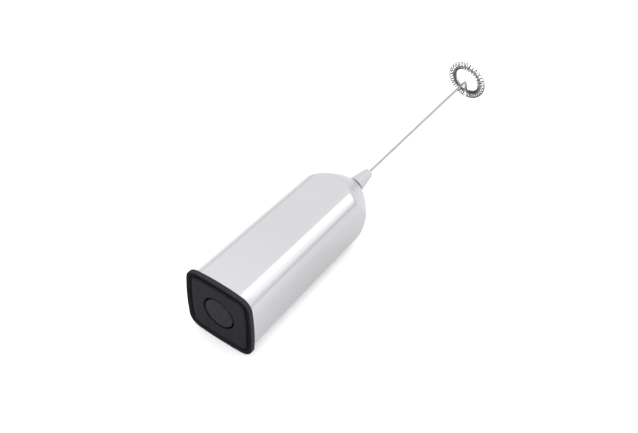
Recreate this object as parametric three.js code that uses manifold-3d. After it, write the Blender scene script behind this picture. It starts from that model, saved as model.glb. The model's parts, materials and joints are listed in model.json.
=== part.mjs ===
// A hand-held milk frother for two AA cells, lying on its side as it is laid down on a table.
//
// Frame: millimetres, +Z up, the long axis along +Y from the end cap with its button to the whisk ring,
// +X across. The origin is under the middle of the object's box, on the surface that it lies on.
//
// Inside the file a "station" is a distance along the axis from the outer face of the end cap, and X and Z
// are measured from the axis. The last lines lift the axis to its height above the surface.

import * as THREE from 'three';
import { mergeVertices } from 'three/addons/utils/BufferGeometryUtils.js';
import Module from 'manifold-3d';

const wasm = await Module();
wasm.setup();

// ---------------------------------------------------------------- driving dimensions

// End cap
const FLANGE_HALF = 20;
const FLANGE_CORNER = 6.8;
const FLANGE_CROWN = 140;
const FLANGE_DEPTH = 2.6;
const RIM_WIDTH = 1.4;
const GROOVE_WIDTH = 1.9;
const GROOVE_DEPTH = 1.4;
const PANEL_SET_BACK = 0.1;
const EDGE_ROUNDING = 0.4;

// Push button
const BUTTON_RADIUS = 8.25;
const BUTTON_GROOVE = 1;
const BUTTON_HEAD = 2;
const BUTTON_TRAVEL = 1.5;
const STEM_RADIUS = 1.8;

// Housing: a tapered rounded square that is cut by an arched dome of revolution
const HOUSING_HALF = 19.5;
const HOUSING_CORNER = 11.4;
const HOUSING_CROWN = 120;
const HOUSING_START = 2.8;
const HOUSING_TAPER = 0.0249;
const WALL = 1.3;
const DOME_ARC_RADIUS = 39.9;
const DOME_ARC_STATION = 71.3;
const DOME_ARC_OFFSET = 16.6;
const NOSE = 105;
const NOSE_HOLE = 3;

// AA cells, side by side
const CELL_RADIUS = 7.1;
const CELL_SPACING = 14.8;
const CELL_LENGTH = 50.5;
const CELL_START = 16.4;

// Small direct-current motor with two flats
const MOTOR_RADIUS = 10.05;
const MOTOR_FLAT = 7.55;
const MOTOR_CAN_LENGTH = 20;
const END_BELL_LENGTH = 2.7;
const CAN_WALL = 0.5;
const SHAFT_RADIUS = 1;
const ARMATURE_RADIUS = 6.2;
const ARMATURE_LENGTH = 12;
const POLES = 3;

// Whisk
const HUB_START = 105.9;
const HUB_BASE = 4.54;
const HUB_TIP = 2.42;
const HUB_END = 118;
const WIRE_RADIUS = 0.7;
const WIRE_START = 112.6;
const RING_STATION = 205.5;
const COIL_RING_RADIUS = 9.1;
const COIL_RADIUS = 1.86;
const COIL_WIRE = 0.24;
const COIL_TURNS = 37;
const COIL_OPENING = 12;
const COIL_CROWDING = 0.3;

// Gaps and smoothness
const GAP = 0.3;
const FIT = 0.1;
const SHAFT_FIT = 0.06;
const ROUND_SIDES = 24;
const SHELL_SIDES = 48;
const MERGE_DISTANCE = 1e-4;

// ---------------------------------------------------------------- worked-out dimensions

const TOTAL_LENGTH = RING_STATION + COIL_RADIUS + COIL_WIRE;
const RIM_INNER = FLANGE_HALF - RIM_WIDTH;
const PANEL_HALF = RIM_INNER - GROOVE_WIDTH;
const SKIRT_HALF = HOUSING_HALF - WALL - 2 * GAP;
const WELL_RADIUS = BUTTON_RADIUS + BUTTON_GROOVE;
const WELL_FLOOR = 6.4;
const BRIDGE_START = WELL_FLOOR + 1.7;
const CAP_CONTACT = BRIDGE_START + 0.6 + BUTTON_TRAVEL + FIT;
const CARRIER_START = CAP_CONTACT + 0.5;
const CARRIER_DEPTH = 1.5;
const SKIRT_END = CARRIER_START + CARRIER_DEPTH + 0.2;
const CELL_END = CELL_START + CELL_LENGTH;
const CELL_OFFSET = CELL_SPACING / 2;
const FRONT_CONTACT = CELL_END + 0.2;
const PLATE = 0.4;
const CRADLE_WALL_START = FRONT_CONTACT + PLATE + FIT;
const CRADLE_WALL = 1.6;
const CRADLE_WALL_END = CRADLE_WALL_START + CRADLE_WALL;
const END_BELL_START = CRADLE_WALL_END + 2.6;
const CAN_START = END_BELL_START + END_BELL_LENGTH;
const CAN_END = CAN_START + MOTOR_CAN_LENGTH;
const MOTOR_SHAFT_END = HUB_START + 5.8;

// ---------------------------------------------------------------- finishes

const FINISH = {
  satinSilver: { color: 0xc9c9cf, roughness: 0.28, metalness: 0.85 },
  blackRubber: { color: 0x1c1c20, roughness: 0.7, metalness: 0 },
  blackPlastic: { color: 0x2b2b30, roughness: 0.55, metalness: 0 },
  greyPlastic: { color: 0x9a9a9e, roughness: 0.6, metalness: 0 },
  whitePlastic: { color: 0xe4e2dc, roughness: 0.5, metalness: 0 },
  nickel: { color: 0xb9b7b0, roughness: 0.3, metalness: 0.9 },
  steel: { color: 0xa8a8ac, roughness: 0.3, metalness: 0.95 },
  brass: { color: 0xb59a55, roughness: 0.35, metalness: 0.9 },
  copper: { color: 0xb0643a, roughness: 0.4, metalness: 0.8 },
  darkIron: { color: 0x4a4a4e, roughness: 0.6, metalness: 0.5 },
  ferrite: { color: 0x303034, roughness: 0.8, metalness: 0.1 },
  cellSleeve: { color: 0x3d5a78, roughness: 0.45, metalness: 0.2 },
  redWire: { color: 0xb02a22, roughness: 0.5, metalness: 0 },
  blackWire: { color: 0x202024, roughness: 0.5, metalness: 0 },
};

// ---------------------------------------------------------------- solids

/** Six times the signed volume of an indexed geometry: negative if its faces point in. */
function signedVolume(geometry) {
  const position = geometry.getAttribute('position');
  const corners = [new THREE.Vector3(), new THREE.Vector3(), new THREE.Vector3()];
  let volume = 0;
  for (let i = 0; i < geometry.index.count; i += 3) {
    corners.forEach((corner, k) => corner.fromBufferAttribute(position, geometry.index.getX(i + k)));
    volume += corners[0].dot(corners[1].cross(corners[2]));
  }
  return volume;
}

/** Keeps only the positions, joins shared vertices, drops empty triangles and turns the faces outwards. */
function closed(geometry) {
  const bare = geometry.clone();
  for (const name of Object.keys(bare.attributes)) {
    if (name !== 'position') bare.deleteAttribute(name);
  }
  const merged = mergeVertices(bare, MERGE_DISTANCE);
  const kept = [];
  for (let i = 0; i < merged.index.count; i += 3) {
    const [a, b, c] = [0, 1, 2].map((k) => merged.index.getX(i + k));
    if (a !== b && b !== c && c !== a) kept.push(a, b, c);
  }
  merged.setIndex(kept);
  if (signedVolume(merged) < 0) {
    for (let i = 0; i < kept.length; i += 3) [kept[i], kept[i + 1]] = [kept[i + 1], kept[i]];
    merged.setIndex(kept);
  }
  return merged;
}

function solidOf(geometry) {
  const shut = closed(geometry);
  return new wasm.Manifold(
    new wasm.Mesh({
      numProp: 3,
      vertProperties: new Float32Array(shut.getAttribute('position').array),
      triVerts: new Uint32Array(shut.index.array),
    }),
  );
}

function geometryOf(solid) {
  const mesh = solid.getMesh();
  const geometry = new THREE.BufferGeometry();
  geometry.setAttribute('position', new THREE.BufferAttribute(mesh.vertProperties.slice(), 3));
  geometry.setIndex(Array.from(mesh.triVerts));
  return geometry;
}

const join = (first, ...others) => geometryOf(others.reduce((sum, g) => sum.add(solidOf(g)), solidOf(first)));

const cut = (first, ...others) =>
  geometryOf(others.reduce((rest, g) => rest.subtract(solidOf(g)), solidOf(first)));

const common = (first, second) => geometryOf(solidOf(first).intersect(solidOf(second)));

/** A flat shape swept along the axis. The sweep turns the shape's y into -Z. */
function sweep(shape, from, to, { rounding = 0, curveSegments = 3 } = {}) {
  const geometry = new THREE.ExtrudeGeometry(shape, {
    depth: to - from - 2 * rounding,
    curveSegments,
    bevelEnabled: rounding > 0,
    bevelThickness: rounding,
    bevelSize: rounding,
    bevelOffset: -rounding,
    bevelSegments: 1,
  });
  return geometry.rotateX(-Math.PI / 2).translate(0, from + rounding, 0);
}

/** A profile of [radius, station] pairs turned about the axis. */
function turned(profile, sides = ROUND_SIDES) {
  const points = profile.map(([radius, station]) => new THREE.Vector2(radius, station));
  return new THREE.LatheGeometry(points, sides);
}

function disc(radius, from, to, { x = 0, z = 0, sides = ROUND_SIDES } = {}) {
  return turned([[0, from], [radius, from], [radius, to], [0, to]], sides).translate(x, 0, z);
}

function washer(inner, outer, from, to, sides = ROUND_SIDES) {
  return turned([[inner, from], [outer, from], [outer, to], [inner, to], [inner, from]], sides);
}

function block(x, station, z) {
  const middle = (range) => (range[0] + range[1]) / 2;
  const size = (range) => range[1] - range[0];
  const box = new THREE.BoxGeometry(size(x), size(station), size(z));
  return box.translate(middle(x), middle(station), middle(z));
}

/** A square with crowned sides and round corners, drawn from eight tangent arcs. */
function crownedSquare(half, corner, crown) {
  const faceCentre = half - crown;
  const reach = crown - corner;
  const cornerCentre = (faceCentre + Math.sqrt(2 * reach * reach - faceCentre * faceCentre)) / 2;
  const meet = Math.atan2(cornerCentre, cornerCentre - faceCentre);
  const shape = new THREE.Shape();
  for (let side = 0; side < 4; side += 1) {
    const turn = (side * Math.PI) / 2;
    const face = new THREE.Vector2(faceCentre, 0).rotateAround(new THREE.Vector2(), turn);
    const round = new THREE.Vector2(cornerCentre, cornerCentre).rotateAround(new THREE.Vector2(), turn);
    shape.absarc(face.x, face.y, crown, turn - meet, turn + meet, false);
    shape.absarc(round.x, round.y, corner, turn + meet, turn + Math.PI / 2 - meet, false);
  }
  return shape;
}

/** The flange's outline, moved in by a distance. */
const flangeOutline = (inset) =>
  crownedSquare(FLANGE_HALF - inset, Math.max(FLANGE_CORNER - inset, 1.5), FLANGE_CROWN - inset);

/** The housing's outline at its mouth, moved in by a distance. */
const housingOutline = (inset) =>
  crownedSquare(HOUSING_HALF - inset, HOUSING_CORNER - inset, HOUSING_CROWN - inset);

function roundSection(radius, sides) {
  const corners = Array.from({ length: sides }, (_, k) => {
    const angle = (2 * Math.PI * k) / sides;
    return new THREE.Vector2(radius * Math.cos(angle), radius * Math.sin(angle));
  });
  return new THREE.Shape(corners);
}

const circleHole = (radius) => new THREE.Path(roundSection(radius, 32).getPoints().reverse());

function tube(path, radius, steps, sides = 8) {
  const section = roundSection(radius, sides);
  return new THREE.ExtrudeGeometry(section, { extrudePath: path, steps, bevelEnabled: false });
}

/** A helix about a line that is parallel to the axis. */
class AxialHelix extends THREE.Curve {
  constructor({ x = 0, z = 0, from, to, baseRadius, tipRadius, turns }) {
    super();
    Object.assign(this, { x, z, from, to, baseRadius, tipRadius, turns });
  }

  getPoint(t, target = new THREE.Vector3()) {
    const angle = 2 * Math.PI * this.turns * t;
    const radius = THREE.MathUtils.lerp(this.baseRadius, this.tipRadius, t);
    const station = THREE.MathUtils.lerp(this.from, this.to, t);
    return target.set(this.x + radius * Math.cos(angle), station, this.z + radius * Math.sin(angle));
  }
}

function spring({ wire, stepsPerTurn = 9, ...helix }) {
  return tube(new AxialHelix(helix), wire, Math.round(stepsPerTurn * helix.turns), 5);
}

function part(name, geometry, finish) {
  const mesh = new THREE.Mesh(closed(geometry), new THREE.MeshStandardMaterial(FINISH[finish]));
  mesh.name = name;
  return mesh;
}

// ---------------------------------------------------------------- end cap

function capParts() {
  const rimShape = flangeOutline(0);
  rimShape.holes.push(new THREE.Path(flangeOutline(RIM_WIDTH).getPoints(3).reverse()));
  const rim = sweep(rimShape, 0, FLANGE_DEPTH, { rounding: EDGE_ROUNDING });

  const panelShape = flangeOutline(FLANGE_HALF - PANEL_HALF);
  panelShape.holes.push(circleHole(WELL_RADIUS));
  const panel = sweep(panelShape, PANEL_SET_BACK, GROOVE_DEPTH, { rounding: EDGE_ROUNDING });

  return [
    part('end_cap', endCap(), 'blackPlastic'),
    part('cap_rim', rim, 'blackRubber'),
    part('cap_panel', panel, 'blackPlastic'),
    part('contact_carrier', contactCarrier(), 'greyPlastic'),
    ...[-1, 1].flatMap(capContactParts),
  ];
}

/** The flange plate, the skirt that plugs into the housing and the well that guides the button. */
function endCap() {
  const skirtFloor = 4;
  const stemHole = STEM_RADIUS + 0.15;
  const wellWall = 1.2;
  const skirtWall = 1.4;
  const plate = sweep(flangeOutline(RIM_WIDTH + FIT), GROOVE_DEPTH, FLANGE_DEPTH);
  const skirtShape = housingOutline(HOUSING_HALF - SKIRT_HALF);
  const skirt = sweep(skirtShape, FLANGE_DEPTH - 0.5, SKIRT_END);
  const hollow = sweep(housingOutline(HOUSING_HALF - SKIRT_HALF + skirtWall), skirtFloor, SKIRT_END + 1);
  const well = disc(WELL_RADIUS + wellWall, GROOVE_DEPTH + FIT, WELL_FLOOR + 1);
  const opening = disc(WELL_RADIUS, GROOVE_DEPTH - 1, WELL_FLOOR);
  const guide = disc(stemHole, WELL_FLOOR - 1, WELL_FLOOR + 2, { sides: 16 });
  return cut(join(cut(join(plate, skirt), hollow), well), opening, guide);
}

/** The insulating plate inside the skirt that holds the two contacts and lets their springs through. */
function contactCarrier() {
  const springHole = 5.7;
  const stemHole = 3.4;
  const plate = sweep(
    housingOutline(HOUSING_HALF - SKIRT_HALF + 1.4 + FIT),
    CARRIER_START,
    CARRIER_START + CARRIER_DEPTH,
  );
  const holes = [
    disc(stemHole, CARRIER_START - 1, CARRIER_START + CARRIER_DEPTH + 1, { sides: 16 }),
    ...[-1, 1].map((side) =>
      disc(springHole, CARRIER_START - 1, CARRIER_START + CARRIER_DEPTH + 1, { x: side * (CELL_OFFSET + 2) })),
  ];
  return cut(plate, ...holes);
}

/** One contact plate, with the conical spring that presses on its cell. */
function capContactParts(side) {
  const name = side < 0 ? 'left' : 'right';
  const inner = 1.2;
  const outer = 13.8;
  const halfHeight = 6.2;
  const stemRelief = 3.4;
  const x = side < 0 ? [-outer, -inner] : [inner, outer];
  const plate = block(x, [CAP_CONTACT, CAP_CONTACT + PLATE], [-halfHeight, halfHeight]);
  const relief = disc(stemRelief, CAP_CONTACT - 1, CAP_CONTACT + 1, { sides: 16 });
  const coil = spring({
    x: side * (CELL_OFFSET + 1.2),
    from: CAP_CONTACT + PLATE + 0.3 + FIT,
    to: CELL_START - 0.3 - 2 * FIT,
    baseRadius: 4,
    tipRadius: 2.4,
    turns: 3.5,
    wire: 0.3,
  });
  return [
    part(`cap_contact_${name}`, cut(plate, relief), 'nickel'),
    part(`cap_spring_${name}`, coil, 'nickel'),
  ];
}

// ---------------------------------------------------------------- push button

function buttonSpring() {
  const wire = 0.3;
  return part(
    'button_spring',
    spring({
      from: PANEL_SET_BACK + BUTTON_HEAD + wire + FIT,
      to: WELL_FLOOR - wire - FIT,
      baseRadius: 4.2,
      tipRadius: 4.2,
      turns: 3,
      wire,
    }),
    'steel',
  );
}

function buttonParts() {
  const headEnd = PANEL_SET_BACK + BUTTON_HEAD;
  const bridgeDepth = 0.6;
  const clipDepth = 0.4;
  const clipStart = BRIDGE_START + bridgeDepth + FIT;
  const stemEnd = clipStart + clipDepth + 0.2;
  const rounded = 0.4;
  const head = turned([
    [0, PANEL_SET_BACK],
    [BUTTON_RADIUS - rounded, PANEL_SET_BACK],
    [BUTTON_RADIUS - 0.12, PANEL_SET_BACK + 0.12],
    [BUTTON_RADIUS, PANEL_SET_BACK + rounded],
    [BUTTON_RADIUS, headEnd],
    [STEM_RADIUS, headEnd],
    [STEM_RADIUS, stemEnd],
    [0, stemEnd],
  ]);
  const bore = STEM_RADIUS + FIT;
  return [
    part('button', head, 'blackPlastic'),
    part('contact_bridge', washer(bore, 6, BRIDGE_START, BRIDGE_START + bridgeDepth), 'brass'),
    part('bridge_clip', washer(bore, 3, clipStart, clipStart + clipDepth, 16), 'steel'),
  ];
}

// ---------------------------------------------------------------- housing

/** The part of the housing's half width that is left at a station. */
const taperAt = (station) => 1 - (HOUSING_TAPER * (station - HOUSING_START)) / HOUSING_HALF;

/** A rounded square sweep that narrows towards the whisk. */
function taperedSweep(inset, from, to) {
  const geometry = sweep(housingOutline(inset), from, to);
  const position = geometry.getAttribute('position');
  for (let i = 0; i < position.count; i += 1) {
    const scale = taperAt(position.getY(i));
    position.setX(i, position.getX(i) * scale);
    position.setZ(i, position.getZ(i) * scale);
  }
  return geometry;
}

/** The dome's radius at a station: one large arc whose centre lies beyond the axis. */
function domeRadius(station, inset) {
  const along = station - DOME_ARC_STATION;
  const radius = DOME_ARC_RADIUS - inset;
  return Math.sqrt(radius * radius - along * along) - DOME_ARC_OFFSET;
}

function domeCutter(inset, from, nose) {
  const steps = 10;
  const profile = [[0, from], [domeRadius(DOME_ARC_STATION, inset), from]];
  for (let k = 0; k <= steps; k += 1) {
    const station = THREE.MathUtils.lerp(DOME_ARC_STATION, nose, Math.sin((k / steps) * (Math.PI / 2)));
    profile.push([domeRadius(station, inset), station]);
  }
  profile.push([0, nose]);
  return turned(profile, SHELL_SIDES);
}

function housingShell() {
  const noseWall = 1.5;
  const outside = common(taperedSweep(0, HOUSING_START, NOSE), domeCutter(0, HOUSING_START - 1, NOSE));
  const inside = common(
    taperedSweep(WALL, HOUSING_START - 1, NOSE - noseWall),
    domeCutter(WALL, HOUSING_START - 2, NOSE - noseWall),
  );
  return cut(outside, inside, disc(NOSE_HOLE, NOSE - 3, NOSE + 1));
}

/** The plastic bush that closes the nose round the motor's shaft. */
function noseBush() {
  const bore = SHAFT_RADIUS + GAP;
  const collar = 4.1;
  const back = NOSE - 2.7;
  const front = NOSE - 1.5 - FIT;
  return turned([
    [bore, back],
    [collar, back],
    [collar, front],
    [NOSE_HOLE - FIT, front],
    [NOSE_HOLE - FIT, NOSE + 0.2],
    [bore, NOSE + 0.2],
    [bore, back],
  ]);
}

// ---------------------------------------------------------------- battery bay

const SCREW_X = 11.3;
const SCREW_Z = 9.6;
const SCREW_HOLE = 1.15;

/** Where the two bracket screws stand: on opposite corners of the motor. */
const SCREW_PLACES = [{ x: -SCREW_X, z: SCREW_Z }, { x: SCREW_X, z: -SCREW_Z }];

/** The tray that the cells slide along, its end wall and the bosses for the bracket's screws. */
function batteryCradle() {
  const trayStart = SKIRT_END + 1.2;
  const bossRadius = 2.2;
  const bossDepth = 5;
  const trough = CELL_RADIUS + GAP;
  const shaftHole = 2;
  const wall = sweep(housingOutline(3.5), CRADLE_WALL_START, CRADLE_WALL_END);
  const tray = block([-14.2, 14.2], [trayStart, CRADLE_WALL_START + 1], [-9.3, -2.5]);
  const bosses = SCREW_PLACES.map((place) =>
    disc(bossRadius, CRADLE_WALL_START - bossDepth, CRADLE_WALL_START + 0.5, { ...place, sides: 16 }));
  const bays = [-1, 1].map((side) =>
    disc(trough, trayStart - 1, CRADLE_WALL_START, { x: side * CELL_OFFSET, sides: 32 }));
  const pilotHoles = SCREW_PLACES.map((place) =>
    disc(SCREW_HOLE, CRADLE_WALL_START - bossDepth + 1, CRADLE_WALL_END + 1, { ...place, sides: 12 }));
  const slots = [-1, 1].map((side) =>
    block(tabRange(side, GAP), [CRADLE_WALL_START - 1, CRADLE_WALL_END + 1], [4.6, 6.2]));
  const tailHole = disc(shaftHole, CRADLE_WALL_START - 1, CRADLE_WALL_END + 1, { sides: 16 });
  return cut(join(wall, tray, ...bosses), ...bays, ...pilotHoles, ...slots, tailHole);
}

/** How far a front contact's tab reaches across, on one side. */
function tabRange(side, margin) {
  const middle = side * 6.4;
  const halfWidth = 1.1 + margin;
  return [middle - halfWidth, middle + halfWidth];
}

/** A flat contact at the closed end of the bay, with a solder tab through the end wall. */
function frontContact(side) {
  const halfPlate = 4.6;
  const centre = side * CELL_OFFSET;
  const tab = [5.2, 5.6];
  const tabEnd = CRADLE_WALL_END + 1.3;
  const plate = block(
    [centre - halfPlate, centre + halfPlate],
    [FRONT_CONTACT, FRONT_CONTACT + PLATE],
    [-halfPlate, tab[1]],
  );
  return join(plate, block(tabRange(side, 0), [FRONT_CONTACT, tabEnd], tab));
}

/** One AA cell: its can, its sleeve's shoulder and the small terminal at one end. */
function cell(side) {
  const nubRadius = 2.6;
  const nubHeight = 1.2;
  const shoulder = 0.6;
  const nubForward = side < 0;
  const profile = [
    [0, 0],
    [CELL_RADIUS - shoulder, 0],
    [CELL_RADIUS, shoulder],
    [CELL_RADIUS, CELL_LENGTH - nubHeight - shoulder],
    [CELL_RADIUS - shoulder, CELL_LENGTH - nubHeight],
    [nubRadius, CELL_LENGTH - nubHeight],
    [nubRadius, CELL_LENGTH],
    [0, CELL_LENGTH],
  ];
  const placed = profile.map(([radius, along]) => [radius, nubForward ? CELL_START + along : CELL_END - along]);
  return turned(placed).translate(side * CELL_OFFSET, 0, 0);
}

function batteryParts() {
  return [
    part('battery_cradle', batteryCradle(), 'greyPlastic'),
    part('front_contact_left', frontContact(-1), 'nickel'),
    part('front_contact_right', frontContact(1), 'nickel'),
    part('cell_left', cell(-1), 'cellSleeve'),
    part('cell_right', cell(1), 'cellSleeve'),
  ];
}

// ---------------------------------------------------------------- motor

/** A round section with two flats, as the motor's can has. */
function flattedCircle(radius, flat) {
  const meet = Math.asin(flat / radius);
  const shape = new THREE.Shape();
  shape.absarc(0, 0, radius, -meet, meet, false);
  shape.absarc(0, 0, radius, Math.PI - meet, Math.PI + meet, false);
  shape.closePath();
  return shape;
}

function motorCan() {
  const frontHole = 3.05;
  const smooth = { curveSegments: 5 };
  const outside = sweep(flattedCircle(MOTOR_RADIUS, MOTOR_FLAT), CAN_START, CAN_END, smooth);
  const inside = sweep(
    flattedCircle(MOTOR_RADIUS - CAN_WALL, MOTOR_FLAT - CAN_WALL),
    CAN_START - 1,
    CAN_END - CAN_WALL,
    smooth,
  );
  return cut(outside, inside, disc(frontHole, CAN_END - 1, CAN_END + 1));
}

function endBell() {
  const smooth = { curveSegments: 5 };
  const cover = sweep(flattedCircle(MOTOR_RADIUS, MOTOR_FLAT), END_BELL_START, CAN_START - FIT, smooth);
  const spigot = sweep(
    flattedCircle(MOTOR_RADIUS - CAN_WALL - GAP, MOTOR_FLAT - CAN_WALL - GAP),
    CAN_START - 1,
    CAN_START + 1,
    smooth,
  );
  const pocket = disc(5, END_BELL_START + 1.2, CAN_START + 2);
  const tailHole = disc(SHAFT_RADIUS + SHAFT_FIT, END_BELL_START - 1, END_BELL_START + 2);
  const slots = [-1, 1].map((side) =>
    block(terminalRange(side, FIT), [END_BELL_START - 1, CAN_START + 2], [-1.1, 1.1]));
  return cut(join(cover, spigot), pocket, tailHole, ...slots);
}

/** How far a motor terminal reaches across, on one side. */
function terminalRange(side, margin) {
  const inner = side * 3.2;
  const outer = side * 3.6;
  return [Math.min(inner, outer) - margin, Math.max(inner, outer) + margin];
}

/** A terminal tab that runs into the motor and ends as the brush on the commutator. */
function motorTerminal(side) {
  const tabStart = END_BELL_START - 1.2;
  const brushEnd = CAN_START + 2.4;
  const halfWidth = 1;
  const brushTip = side * 2.55;
  const tab = block(terminalRange(side, 0), [tabStart, brushEnd], [-halfWidth, halfWidth]);
  const across = [Math.min(brushTip, side * 3.5), Math.max(brushTip, side * 3.5)];
  return join(tab, block(across, [brushEnd - 0.8, brushEnd], [-0.8, 0.8]));
}

/** An arc magnet that lines one round side of the can. */
function magnet(side) {
  const inner = 6.8;
  const outer = 9.2;
  const spread = THREE.MathUtils.degToRad(44);
  const middle = side < 0 ? Math.PI : 0;
  const shape = new THREE.Shape();
  shape.absarc(0, 0, outer, middle - spread, middle + spread, false);
  shape.absarc(0, 0, inner, middle + spread, middle - spread, true);
  return sweep(shape, CAN_START + 3.5, CAN_END - 2, { curveSegments: 5 });
}

/** The collar that holds the motor's tail and is screwed to the battery bay's end wall. */
function motorBracket() {
  const flangeDepth = 1.8;
  const sleeveRadius = 12;
  const sleeveEnd = CAN_START + 9;
  const from = CRADLE_WALL_END + FIT;
  const flange = sweep(housingOutline(3.6), from, from + flangeDepth);
  const sleeve = disc(sleeveRadius, from, sleeveEnd, { sides: 32 });
  const seat = sweep(
    flattedCircle(MOTOR_RADIUS + GAP, MOTOR_FLAT + GAP),
    END_BELL_START - 0.6,
    sleeveEnd + 1,
    { curveSegments: 5 },
  );
  const tailRoom = disc(10.8, from - 1, END_BELL_START - 0.5, { sides: 32 });
  const holes = SCREW_PLACES.map((place) =>
    disc(SCREW_HOLE + 0.3, from - 1, from + flangeDepth + 1, { ...place, sides: 12 }));
  const headRooms = SCREW_PLACES.map((place) =>
    disc(2.6, from + flangeDepth, sleeveEnd + 1, { ...place, sides: 16 }));
  return cut(join(flange, sleeve), seat, tailRoom, ...holes, ...headRooms);
}

function bracketScrew({ x, z }) {
  const threadRadius = 1;
  const headRadius = 2;
  const headStart = CRADLE_WALL_END + FIT + 1.8 + FIT;
  const slotDepth = 0.6;
  const tip = CRADLE_WALL_START - 3;
  const body = turned([
    [0, tip],
    [threadRadius, tip + 0.8],
    [threadRadius, headStart],
    [headRadius, headStart],
    [headRadius, headStart + 0.9],
    [headRadius - 0.5, headStart + 1.4],
    [0, headStart + 1.4],
  ], 16).translate(x, 0, z);
  const top = headStart + 1.4;
  const slots = [
    block([x - 1.3, x + 1.3], [top - slotDepth, top + 1], [z - 0.25, z + 0.25]),
    block([x - 0.25, x + 0.25], [top - slotDepth, top + 1], [z - 1.3, z + 1.3]),
  ];
  return cut(body, ...slots);
}

/** A soldered lead from a battery contact to a motor terminal. */
function lead(side) {
  const radius = 0.5;
  const path = new THREE.CatmullRomCurve3([
    new THREE.Vector3(side * 6.4, CRADLE_WALL_END + 0.7, 6.3),
    new THREE.Vector3(side * 6.6, CRADLE_WALL_END + 1, 7.4),
    new THREE.Vector3(side * 4.4, CRADLE_WALL_END + 1.5, 7.2),
    new THREE.Vector3(side * 2.2, CRADLE_WALL_END + 1.8, 5),
    new THREE.Vector3(side * 2.4, CRADLE_WALL_END + 1.9, 2.6),
    new THREE.Vector3(side * 3.4, CRADLE_WALL_END + 1.9, 1.6),
  ]);
  return tube(path, radius, 14, 6);
}

function motorParts() {
  return [
    part('motor_can', motorCan(), 'nickel'),
    part('motor_end_bell', endBell(), 'whitePlastic'),
    part('motor_terminal_left', motorTerminal(-1), 'copper'),
    part('motor_terminal_right', motorTerminal(1), 'copper'),
    part('motor_bearing', washer(SHAFT_RADIUS + SHAFT_FIT, 3, CAN_END - 1.5, CAN_END + 1.5), 'brass'),
    part('magnet_left', magnet(-1), 'ferrite'),
    part('magnet_right', magnet(1), 'ferrite'),
    part('motor_bracket', motorBracket(), 'greyPlastic'),
    ...SCREW_PLACES.map((place, k) => part(`bracket_screw_${k + 1}`, bracketScrew(place), 'steel')),
    part('lead_red', lead(-1), 'redWire'),
    part('lead_black', lead(1), 'blackWire'),
  ];
}

// ---------------------------------------------------------------- armature

const ARMATURE_START = CAN_START + 4.2;
const POLE_WIDTH = 2.4;
const YOKE_RADIUS = 2.3;
const SHOE_DEPTH = 1;

/** Three T-shaped poles round the shaft. */
function armatureCore() {
  const end = ARMATURE_START + ARMATURE_LENGTH;
  const shoeAngle = THREE.MathUtils.degToRad(46);
  const poles = Array.from({ length: POLES }, (_, k) => {
    const shoe = new THREE.Shape();
    shoe.absarc(0, 0, ARMATURE_RADIUS, -shoeAngle, shoeAngle, false);
    shoe.absarc(0, 0, ARMATURE_RADIUS - SHOE_DEPTH, shoeAngle, -shoeAngle, true);
    const arm = block([0, ARMATURE_RADIUS - 0.5], [ARMATURE_START, end], [-POLE_WIDTH / 2, POLE_WIDTH / 2]);
    return join(sweep(shoe, ARMATURE_START, end, { curveSegments: 4 }), arm).rotateY((2 * Math.PI * k) / POLES);
  });
  const hub = disc(YOKE_RADIUS, ARMATURE_START, end);
  const bore = disc(SHAFT_RADIUS + SHAFT_FIT, ARMATURE_START - 1, end + 1);
  return cut(join(hub, ...poles), bore);
}

/** The copper wound on one pole. */
function winding(k) {
  const thickness = 1.1;
  const start = ARMATURE_START - 1;
  const end = ARMATURE_START + ARMATURE_LENGTH + 1;
  const radial = [YOKE_RADIUS + 0.5, ARMATURE_RADIUS - SHOE_DEPTH - 0.8];
  const half = POLE_WIDTH / 2;
  const outside = block(radial, [start, end], [-half - thickness, half + thickness]);
  const inside = block(
    [radial[0] - 1, radial[1] + 1],
    [ARMATURE_START - FIT, ARMATURE_START + ARMATURE_LENGTH + FIT],
    [-half - FIT, half + FIT],
  );
  const wedge = sweep(windingWedge(), start - 1, end + 1);
  return common(cut(outside, inside), wedge).rotateY((2 * Math.PI * k) / POLES);
}

/** The third of the circle that a pole's winding keeps to. */
function windingWedge() {
  const reach = 12;
  const half = THREE.MathUtils.degToRad(57);
  return new THREE.Shape([
    new THREE.Vector2(0.3, 0),
    new THREE.Vector2(reach * Math.cos(half), -reach * Math.sin(half)),
    new THREE.Vector2(reach * Math.cos(half), reach * Math.sin(half)),
  ]);
}

function armatureParts() {
  const commutatorStart = CAN_START + 0.4;
  const commutator = washer(SHAFT_RADIUS + SHAFT_FIT, 2.4, commutatorStart, ARMATURE_START - 1.2);
  return [
    part('motor_shaft', disc(SHAFT_RADIUS, END_BELL_START - 0.4, MOTOR_SHAFT_END), 'steel'),
    part('armature_core', armatureCore(), 'darkIron'),
    ...Array.from({ length: POLES }, (_, k) => part(`armature_winding_${k + 1}`, winding(k), 'copper')),
    part('commutator', commutator, 'copper'),
  ];
}

// ---------------------------------------------------------------- whisk

/** The tapered hub that is pressed onto the motor's shaft and holds the whisk wire. */
function whiskHub() {
  const shaftBore = SHAFT_RADIUS + SHAFT_FIT;
  const wireBore = WIRE_RADIUS + 0.05;
  const boreStep = MOTOR_SHAFT_END + 0.4;
  const baseRounding = 0.3;
  const tipRounding = 1.2;
  const profile = [
    [shaftBore, HUB_START],
    [HUB_BASE - baseRounding, HUB_START],
    [HUB_BASE, HUB_START + baseRounding],
    [HUB_TIP, HUB_END - tipRounding],
  ];
  const arcSteps = 3;
  for (let k = 1; k <= arcSteps; k += 1) {
    const angle = (k / arcSteps) * (Math.PI / 2);
    profile.push([
      HUB_TIP - tipRounding * (1 - Math.cos(angle)),
      HUB_END - tipRounding * (1 - Math.sin(angle)),
    ]);
  }
  profile.push([wireBore, HUB_END], [wireBore, boreStep], [shaftBore, boreStep], [shaftBore, HUB_START]);
  return turned(profile);
}

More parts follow.
